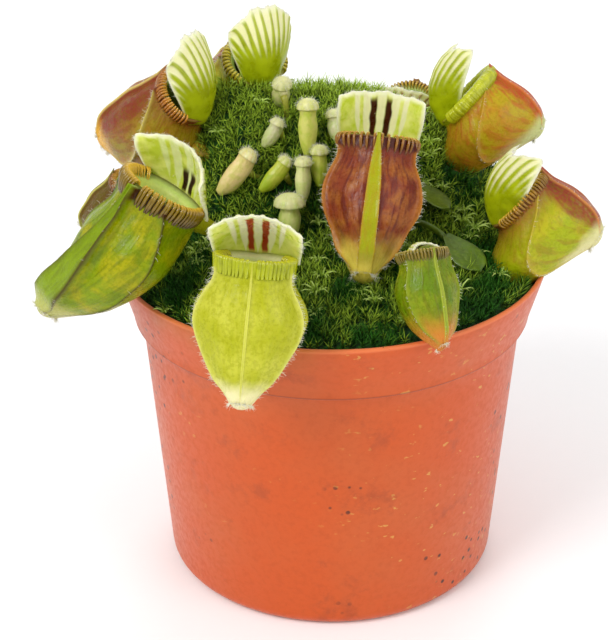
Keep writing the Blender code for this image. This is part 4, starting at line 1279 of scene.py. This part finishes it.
def make_blade(number, blade):
    """A plain spoon-shaped leaf with a shallow fold down its middle."""
    name = f"flat_leaf_{number}"
    angle = math.radians(blade.heading)
    out = unit(np.array([math.cos(angle), math.sin(angle), -0.35]))
    side = np.array([-math.sin(angle), math.cos(angle), 0.0])
    lift = np.cross(out, side)
    rows, columns = 30, 21
    share = np.linspace(0, 1, rows)[:, None] * np.ones((1, columns))
    across = np.linspace(-1, 1, columns)[None] * np.ones((rows, 1))
    half = blade.half_width * (0.22 + 0.78 * np.sin(np.clip(share, 0, 1) ** 1.4 * np.pi) ** 0.7)
    half = half * smoothstep(1.04, 0.9, share)
    spine = np.array(blade.tip) - out * (1 - share)[..., None] * blade.length
    middle = spine + side * (across * half)[..., None]
    middle = middle + lift * ((across**2) * 0.5 - 0.4 * share**2 + 0.3)[..., None]
    thick = lift * (0.32 * (1 - across**2) ** 0.5 + 0.05)[..., None]
    shell = Shell()
    sheet(shell, middle + thick, middle - thick, flip=True)
    start = np.array(blade.tip) - out * blade.length * 0.96
    path, t = stalk_path(start, -out, blade.crown, 20, (1.0, 0.0))
    tube(shell, path, np.full(len(t), 0.6), 10)
    piece = shell.make(name + "_blade", (blade_material(name + "_skin", blade.colour),))
    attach(piece, BODY)
    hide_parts(name)


# ---------------------------------------------------------------- moss
def moss_height(x, y, edge_radius):
    """Free height of the cushion (mm)."""
    reach = np.minimum(np.hypot(x, y) / edge_radius, 1.0)
    dome = (1.0 - reach**2.6) ** 0.75
    slope = smoothstep(0, 1, (y - MOSS_SLOPE_START) / MOSS_SLOPE_LENGTH)
    rise = MOSS_RISE * (MOSS_FRONT_SHARE + (1 - MOSS_FRONT_SHARE) * slope)
    away = np.hypot(x - HUMMOCK_CENTRE[0], y - HUMMOCK_CENTRE[1]) / HUMMOCK_SPREAD
    return MOSS_EDGE_HEIGHT + dome * (rise + HUMMOCK_RISE * np.exp(-0.5 * away**2))


def moss_material(settings):
    n = Skin("moss_leaves")
    # painted light: the moss grows brighter towards the top of the cushion; the patches added to it are the moss's
    # own paler tone
    crest = n.ramp(n.axis("Z"), 0.074, 0.088, 0.0, 0.65)
    patches = n.ramp(n.noise(90, 3.0), 0.38, 0.62, 0.25, 1.4)
    crest_light_and_patches = n.plus(crest, n.times(patches, n.attribute("tint")))
    colour = n.mix(n.ramp(crest_light_and_patches, 0.15, 0.85), tuple(settings.dark), tuple(settings.bright))
    shade = n.ramp(n.attribute("height"), 0.0, 0.85, 0.25, 1.0)
    return n.finish(n.mix(shade, tuple(settings.base), colour), 0.5, Specular_IOR_Level=0.2)


def cushion_material(settings):
    n = Skin("moss_cushion")
    fine = n.noise(900, 4.0, 0.7)
    colour = n.mix(n.ramp(fine, 0.35, 0.7), tuple(settings.base), tuple(settings.dark))
    return n.finish(colour, 0.85, Normal=n.bump(fine, 0.001, 1.0))


def star_material(settings):
    n = Skin("moss_star_leaves")
    colour = n.mix(n.ramp(n.attribute("along"), 0.0, 0.5), tuple(settings.bright), rgb(190, 214, 108))
    return n.finish(n.mix(n.ramp(n.noise(700), 0.45, 0.8, 0.0, 0.5), colour, rgb(130, 170, 60)), 0.45)


def make_shoot(name, leaves, height, reach, seed, material):
    """One moss shoot: narrow pointed leaves standing off a short stem, each four faces."""
    draw = np.random.default_rng(seed)
    shell = Shell()
    for index in range(leaves):
        level = height * (0.1 + 0.75 * index / leaves)
        turn = index * 2.4 + draw.uniform(-0.3, 0.3)
        out = np.array([math.cos(turn), math.sin(turn), 0.0])
        side = np.array([-math.sin(turn), math.cos(turn), 0.0])
        rise = draw.uniform(0.5, 1.15) + 0.7 * index / leaves
        way = unit(out + [0, 0, rise])
        above = np.cross(side, way)
        root = np.array([0, 0, level])
        width = 0.14 * draw.uniform(0.8, 1.2)
        length = reach * draw.uniform(0.8, 1.2)
        base = [root + side * width, root - side * width, root + above * width * 0.8]
        tip = root + way * length + [0, 0, 0.06 * length]
        shell.add([*base, tip], [[0, 1, 3], [1, 2, 3], [2, 0, 3], [0, 2, 1]],
                  height=[level / height * 0.4] * 3 + [1.0])
    return shell.make(name, (material,))


def star_lines(ground, seed):
    """Guide lines of the long-leaved shoots, arching outward from their places on the cushion."""
    draw = np.random.default_rng(seed)
    places = list(STAR_SHOOTS)
    while len(places) < STAR_COUNT:
        x, y = draw.uniform(-36, 36, 2)
        if math.hypot(x, y) < 34:
            places.append((x, y, draw.uniform(1.8, 3.0)))
    lines = []
    for x, y, length in places:
        spot = ground.ray_cast(Vector((x, y, 200.0)), Vector((0, 0, -1)))[0]
        if spot is None:
            continue
        root = np.array(spot) + [0, 0, 0.9]
        for arm in range(STAR_ARMS):
            turn = arm * 2 * math.pi / STAR_ARMS + draw.uniform(-0.25, 0.25)
            out = np.array([math.cos(turn), math.sin(turn), 0.0])
            reach = length * draw.uniform(0.75, 1.15)
            rise = draw.uniform(0.35, 0.75)
            lines.append([root] + [root + out * reach * along + [0, 0, rise * reach * up]
                                   for along, up in ((0.35, 0.6), (0.72, 0.85), (1.0, 0.7))])
    return np.array(lines)


def lowest_jug(x, y):
    """Height of the lowest jug over each spot (mm)."""
    height = np.full(x.shape, 1e3)
    for tree in JUG_TREES:
        for spot in np.ndindex(x.shape):
            hit = tree.ray_cast(Vector((x[spot], y[spot], 40.0)), Vector((0, 0, 1)))[0]
            if hit is not None:
                height[spot] = min(height[spot], hit.z)
    return height


def cushion_shape():
    """Points and faces of the cushion, pressed down under the jugs, its top faces first, and where turf grows."""
    low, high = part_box("moss")
    edge, bottom = (high[0] - low[0]) / 2 / MM, low[2] / MM
    rings, spokes = 84, 220
    share = (np.arange(rings + 1) / rings)[:, None] * np.ones((1, spokes))
    angle = np.linspace(0, 2 * np.pi, spokes, endpoint=False)[None]
    x, y = share * edge * np.cos(angle), share * edge * np.sin(angle)
    flat = np.stack([x, y, 0 * x], -1)
    z = moss_height(x, y, edge)
    z = z + (ripple(flat, 7.0, 3) * 0.7 + ripple(flat, 2.6, 4) * 0.35) * smoothstep(1.0, 0.9, share)
    ceiling = lowest_jug(x, y)
    covered = ceiling < z + BARE_GAP
    z = np.maximum(np.minimum(z, ceiling - JUG_GAP), bottom + 1.5)
    foot_share = 1 - (0.29 * (MOSS_EDGE_HEIGHT - bottom) + 0.3) / edge
    foot_ring = np.stack([x[-1] * foot_share, y[-1] * foot_share, np.full(spokes, bottom)], -1)
    points = np.vstack([np.stack([x, y, z], -1).reshape(-1, 3), foot_ring, [0, 0, bottom]])
    faces = [face[::-1] for face in grid_faces(rings + 1, spokes, True)]
    top_faces, rim = len(faces), rings * spokes
    foot = rim + spokes
    for k in range(spokes):
        j = (k + 1) % spokes
        faces += [[rim + j, rim + k, foot + k, foot + j], [foot + j, foot + k, foot + spokes]]
    cover = np.where(covered, 0.0, 1.0) * smoothstep(1.0, 0.985, share)
    return points, faces, top_faces, np.append(cover, np.zeros(spokes + 1))


def make_moss(settings):
    """The cushion, its turf of shoots and the long-leaved shoots that stand out of it."""
    points, faces, top_faces, cover = cushion_shape()
    shell = Shell()
    shell.add(points, faces, cover=cover)
    cushion = shell.make("moss_cushion", (cushion_material(settings),))
    cushion.data.validate()
    leaf_surface = moss_material(settings)
    collection = bpy.data.collections.new("moss_shoots")
    for index in range(SHOOT_KINDS):
        shoot = make_shoot(f"moss_shoot_{index}", SHOOT_LEAVES, settings.shoot_height / MM * (0.75 + 0.09 * index),
                           1.7 + 0.2 * index, index, leaf_surface)
        bpy.context.scene.collection.objects.unlink(shoot)
        collection.objects.link(shoot)
    values = {**TURF, "Shoots": collection, "Spacing": settings.spacing, "Material": leaf_surface}
    in_front = points[:, 1] < TURF_SPLIT
    turfs = []
    for index, (name, chosen) in enumerate((("moss_turf_front", in_front), ("moss_turf_back", ~in_front))):
        ground = Shell()
        ground.add(points, faces[:top_faces], cover=np.where(chosen, cover, 0.0))
        patch = ground.make(name + "_ground", (leaf_surface,))
        turfs.append(grown(name, patch, turf_tree, {**values, "Seed": TURF_SEED + index}))
    lines = star_lines(BVHTree.FromPolygons(points.tolist(), faces[:top_faces]), STAR_SEED)
    turfs.append(swept("moss_stars", lines, STAR_RADII, 4, star_material(settings)))
    for shoot in list(collection.objects):
        bpy.data.objects.remove(shoot, do_unlink=True)
    bpy.data.collections.remove(collection)
    for piece in (cushion, *turfs):
        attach(piece, BODY)
        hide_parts("moss")


# ---------------------------------------------------------------- pot
POT_WALL = 0.9
POT_BASE_RADIUS = 31.6
POT_BASE_ROUNDING = 2.4
SHOULDER_RADIUS = 35.5
COLLAR_FOOT_RADIUS = 37.1
COLLAR_HEIGHT = 11.4
POT_SIDES = 160
HOLES, HOLE_RADIUS, HOLE_CIRCLE = 5, 3.0, 20


def pot_material(settings):
    """Faded plastic with specks of soil, pale flecks and scratches, algae on the collar, a painted shadow line under
    the collar and a painted highlight along the top of the rim.
    """
    n = Skin("terracotta_orange_plastic")
    wide, fine = n.noise(38, 3.0, 0.6), n.noise(900, 3.0, 0.6)
    x, z, top = n.axis("X"), n.axis("Z"), POT_BOX[1][2]
    plastic = tuple(settings.plastic)
    colour = n.mix(n.ramp(wide, 0.4, 0.75, 0.0, 0.55), plastic, tuple(settings.faded))
    colour = n.mix(n.ramp(fine, 0.4, 0.75, 0.0, 0.25), colour, darker(plastic, 0.7))
    flank = n.ramp(n.math("ABSOLUTE", x), 0.024, 0.034, 0.0, 0.1)
    specks = n.times(n.ramp(n.cells(430), 0.24, 0.14), n.ramp(n.plus(n.noise(52, 3.0), flank), 0.58, 0.66))
    colour = n.mix(specks, colour, rgb(74, 34, 18))
    flecks = n.ramp(n.noise(620, 2.0, 0.5, n.place((0.8, 0.8, 1.4))), 0.66, 0.72)
    patches = n.noise(30, 3.0, 0.5, n.place(turn=(0.4, 0.2, 0.9)))
    patches = n.ramp(n.plus(patches, n.ramp(x, -0.012, 0.026, -0.12, 0.1)), 0.48, 0.62, 0.0, 0.85)
    colour = n.mix(n.times(flecks, patches), colour, rgb(204, 150, 70))
    scratches = n.noise(120, 2.0, 0.4, n.place((1, 1, 0.08), (0.5, 0.3, 0.2)), 0.6)
    colour = n.mix(n.ramp(scratches, 0.72, 0.76, 0.0, 0.35), colour, rgb(226, 140, 90))
    colour = n.mix(n.ramp(n.noise(110, 5.0, 0.7), 0.54, 0.72, 0.0, 0.5), colour, rgb(148, 62, 26))
    above = n.math("SUBTRACT", z, top - COLLAR_HEIGHT * MM)
    # painted shadow: a thin dark line along the step under the collar
    colour = n.mix(n.ramp(n.math("ABSOLUTE", above), 0.0006, 0.0002, 0.0, 0.6), colour, rgb(120, 44, 20))
    # painted highlight: the top of the rim is lightened
    colour = n.mix(n.ramp(z, top - 0.0009, top - 0.0003, 0.0, 0.7), colour, rgb(228, 124, 72))
    algae = n.times(n.ramp(above, 0.003, 0.011), n.ramp(n.noise(60, 3.0), 0.5, 0.75, 0.0, 0.5))
    colour = n.mix(algae, colour, rgb(150, 110, 40))
    return n.finish(
        colour, n.ramp(fine, 0.3, 0.7, 0.34, 0.5), Specular_IOR_Level=0.35, Sheen_Weight=0.12,
        Sheen_Roughness=0.4, Normal=n.bump(wide, 0.0006, 0.5, n.bump(fine, 0.0001, 0.5)),
    )


def arc(centre, radius, start, end, steps):
    """Points of an arc in the outline's plane, angles in degrees."""
    angles = np.radians(np.linspace(start, end, steps))
    return [(centre[0] + radius * math.cos(a), centre[1] + radius * math.sin(a)) for a in angles]


def pot_outline(rim, height, lip):
    """Outline of the pot from under its middle, up the outside, over the lip and down inside (mm)."""
    base, bend, wall = POT_BASE_RADIUS, POT_BASE_ROUNDING, POT_WALL
    shoulder, foot, step = SHOULDER_RADIUS, COLLAR_FOOT_RADIUS, height - COLLAR_HEIGHT
    return [
        (12, 0), (22, 0), *arc((base - bend, bend), bend, -90, 0, 8),
        *[(base + (shoulder - base) * s, bend + (step - 3.4) * s) for s in np.linspace(0.04, 1, 14)],
        (shoulder + 0.35, step - 0.25), (shoulder + 0.9, step), *arc((foot - 0.4, step + 0.4), 0.4, -75, 0, 5),
        *[(foot + (rim - foot) * s, step + 0.9 + (height - step - 1.4) * s) for s in np.linspace(0, 1, 6)],
        *arc((rim - lip, height - lip), lip, 10, 170, 9),
        (rim - wall - 0.1, height - 1.2), (foot - wall, step + wall + 0.6), (shoulder - wall, step + wall),
        (base - wall, bend), (base - bend, wall),
    ]


def drill_holes(pot):
    """Cuts the drain holes through the pot's underside."""
    shell = Shell()
    around = np.linspace(0, 2 * np.pi, 32, endpoint=False)
    ring = np.stack([np.cos(around) * HOLE_RADIUS, np.sin(around) * HOLE_RADIUS, 0 * around], -1)
    sides = len(around)
    faces = grid_faces(2, sides, True) + [list(range(sides))[::-1], list(range(sides, 2 * sides))]
    for hole in range(HOLES):
        turn = 2 * math.pi * hole / HOLES
        centre = [HOLE_CIRCLE * math.cos(turn), HOLE_CIRCLE * math.sin(turn)]
        shell.add(np.vstack([np.array([*centre, z]) + ring for z in (-2.0, 2.6)]), faces)
    cutter = shell.make("drain_hole_cutter", ())
    cut = pot.modifiers.new("drain_holes", "BOOLEAN")
    cut.object = cutter
    cut.solver = "EXACT"
    graph = bpy.context.evaluated_depsgraph_get()
    mesh = bpy.data.meshes.new_from_object(pot.evaluated_get(graph))
    pot.modifiers.clear()
    pot.data = mesh
    mesh.set_sharp_from_angle(angle=math.radians(40))
    bpy.data.objects.remove(cutter, do_unlink=True)


def make_pot(settings):
    """The pot with a rounded lip, a step under its collar and drain holes."""
    low, high = POT_BOX
    outline = np.array(pot_outline((high[0] - low[0]) / 2 / MM, high[2] / MM, settings.lip_radius / MM))
    sides = POT_SIDES
    angle = np.linspace(0, 2 * np.pi, sides, endpoint=False)
    wobble = 1 + 0.0012 * np.sin(angle * 2 + 0.7) + 0.0008 * np.sin(angle * 5 + 2)
    radii = outline[:, :1] * wobble[None]
    points = np.stack([radii * np.cos(angle), radii * np.sin(angle), outline[:, 1:] + 0 * radii], -1)
    base = len(outline) * sides
    last = base - sides
    faces = grid_faces(len(outline), sides, True)
    faces += [[(k + 1) % sides, k, base] for k in range(sides)]
    faces += [[last + k, last + (k + 1) % sides, base + 1] for k in range(sides)]
    shell = Shell()
    shell.add(np.vstack([points.reshape(-1, 3), [0, 0, 0], [0, 0, POT_WALL]]), faces)
    pot = shell.make("pot_shell", (pot_material(settings),))
    drill_holes(pot)
    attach(pot, BODY)
    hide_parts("pot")


def soil_material(settings):
    n = Skin("damp_peat")
    crumbs = n.noise(700, 5.0, 0.7)
    colour = n.mix(n.ramp(crumbs, 0.35, 0.7), tuple(settings.soil), rgb(84, 62, 40))
    return n.finish(colour, 0.95, Normal=n.bump(crumbs, 0.001, 0.9))


def rootstock_material():
    n = Skin("rootstock_bark")
    rings = n.noise(300, 4.0, 0.6, n.place((1, 1, 3)))
    colour = n.mix(n.ramp(rings, 0.3, 0.7), rgb(66, 40, 24), rgb(120, 84, 50))
    return n.finish(colour, 0.8, Normal=n.bump(rings, 0.0005, 0.8))


# ---------------------------------------------------------------- stage
def make_floor(settings):
    half = FLOOR_HALF
    mesh = bpy.data.meshes.new("floor")
    mesh.from_pydata([(-half, -half, 0), (half, -half, 0), (half, half, 0), (-half, half, 0)], [], [(0, 1, 2, 3)])
    floor = link("floor", mesh)
    n = Skin("floor_paper")
    colour = tuple(settings.floor_colour)
    mesh.materials.append(n.finish(n.mix(n.noise(300), colour, darker(colour, 0.985)), 0.9))


def make_lights(scene, settings):
    """A white sky and three soft round lamps aimed at the plant."""
    world = bpy.data.worlds.new("studio")
    world.use_nodes = True
    sky = world.node_tree.nodes["Background"]
    sky.inputs["Color"].default_value = (1.0, 1.0, 1.0, 1.0)
    sky.inputs["Strength"].default_value = SKY_STRENGTH
    scene.world = world
    for name, place, size, share in LIGHTS:
        data = bpy.data.lights.new(name, "AREA")
        data.shape = "DISK"
        data.size = size
        data.energy = settings.key_power * share
        lamp = link(name, data)
        lamp.location = place
        lamp.rotation_euler = (Vector(LIGHT_AIM) - Vector(place)).to_track_quat("-Z", "Y").to_euler()


def make_camera(scene, settings):
    data = bpy.data.cameras.new("camera")
    data.lens = settings.focal_length
    data.sensor_width = SENSOR_WIDTH
    data.sensor_fit = "AUTO"
    data.clip_start = 0.01
    camera = link("camera", data)
    camera.location = CAMERA_PLACE
    camera.rotation_euler = Vector(CAMERA_WAY).to_track_quat("-Z", "Y").to_euler()
    camera.rotation_euler.rotate_axis("Z", math.radians(CAMERA_ROLL))
    scene.camera = camera


# ---------------------------------------------------------------- operators
class PLANT_OT_stage(bpy.types.Operator):
    """Build the floor, the lights and the camera"""

    bl_idname = "plant.stage"
    bl_label = "Stage"

    def execute(self, context):
        settings = context.scene.plant_stage
        make_floor(settings)
        make_lights(context.scene, settings)
        make_camera(context.scene, settings)
        context.scene.view_settings.view_transform = "Standard"
        return {"FINISHED"}


class PLANT_OT_pot(bpy.types.Operator):
    """Build the nursery pot"""

    bl_idname = "plant.pot"
    bl_label = "Pot"

    def execute(self, context):
        make_pot(context.scene.plant_pot)
        return {"FINISHED"}


class PLANT_OT_soil(bpy.types.Operator):
    """Finish the soil and the rootstock"""

    bl_idname = "plant.soil"
    bl_label = "Soil and rootstock"

    def execute(self, context):
        for node, made in (("soil", soil_material(context.scene.plant_pot)), ("rootstock", rootstock_material())):
            frame["nodes"][node].material_slots[0].material = made
        return {"FINISHED"}


class PLANT_OT_pitchers(bpy.types.Operator):
    """Build the full-grown pitchers"""

    bl_idname = "plant.pitchers"
    bl_label = "Pitchers"

    def execute(self, context):
        for name, leaf in PITCHERS.items():
            make_pitcher(name, leaf, PALETTES[name].linear(), context.scene.plant_pitchers)
        return {"FINISHED"}


class PLANT_OT_young(bpy.types.Operator):
    """Build the young pitchers"""

    bl_idname = "plant.young"
    bl_label = "Young pitchers"

    def execute(self, context):
        for number, bud in BUDS.items():
            make_bud(number, bud, context.scene.plant_pitchers)
        return {"FINISHED"}


class PLANT_OT_blades(bpy.types.Operator):
    """Build the plain leaves"""

    bl_idname = "plant.blades"
    bl_label = "Plain leaves"

    def execute(self, context):
        for number, blade in BLADES.items():
            make_blade(number, blade)
        return {"FINISHED"}


class PLANT_OT_moss(bpy.types.Operator):
    """Build the moss cushion and its shoots, after the pitchers that press it down"""

    bl_idname = "plant.moss"
    bl_label = "Moss"

    def execute(self, context):
        make_moss(context.scene.plant_moss)
        return {"FINISHED"}


class PLANT_PT_panel(bpy.types.Panel):
    """Steps that build the plant"""

    bl_label = "Pitcher Plant"
    bl_idname = "PLANT_PT_panel"
    bl_space_type = "VIEW_3D"
    bl_region_type = "UI"
    bl_category = "Pitcher Plant"

    def draw(self, context):
        for operator in OPERATORS:
            self.layout.operator(operator.bl_idname)
        for _, pointer in SETTINGS:
            group = getattr(context.scene, pointer)
            box = self.layout.box()
            for key in group.__annotations__:
                box.prop(group, key)


SETTINGS = (
    (PitcherSettings, "plant_pitchers"),
    (MossSettings, "plant_moss"),
    (PotSettings, "plant_pot"),
    (StageSettings, "plant_stage"),
)
OPERATORS = (
    PLANT_OT_stage, PLANT_OT_pot, PLANT_OT_soil, PLANT_OT_pitchers, PLANT_OT_young, PLANT_OT_blades,
    PLANT_OT_moss,
)


def register():
    for group, pointer in SETTINGS:
        bpy.utils.register_class(group)
        setattr(bpy.types.Scene, pointer, bpy.props.PointerProperty(type=group))
    for kind in (*OPERATORS, PLANT_PT_panel):
        bpy.utils.register_class(kind)


def unregister():
    for kind in reversed((*OPERATORS, PLANT_PT_panel)):
        bpy.utils.unregister_class(kind)
    for group, pointer in reversed(SETTINGS):
        delattr(bpy.types.Scene, pointer)
        bpy.utils.unregister_class(group)


def main():
    register()
    bpy.ops.plant.stage()
    bpy.ops.plant.pot()
    bpy.ops.plant.soil()
    bpy.ops.plant.pitchers()
    bpy.ops.plant.young()
    bpy.ops.plant.blades()
    bpy.ops.plant.moss()


if __name__ == "__main__":
    main()
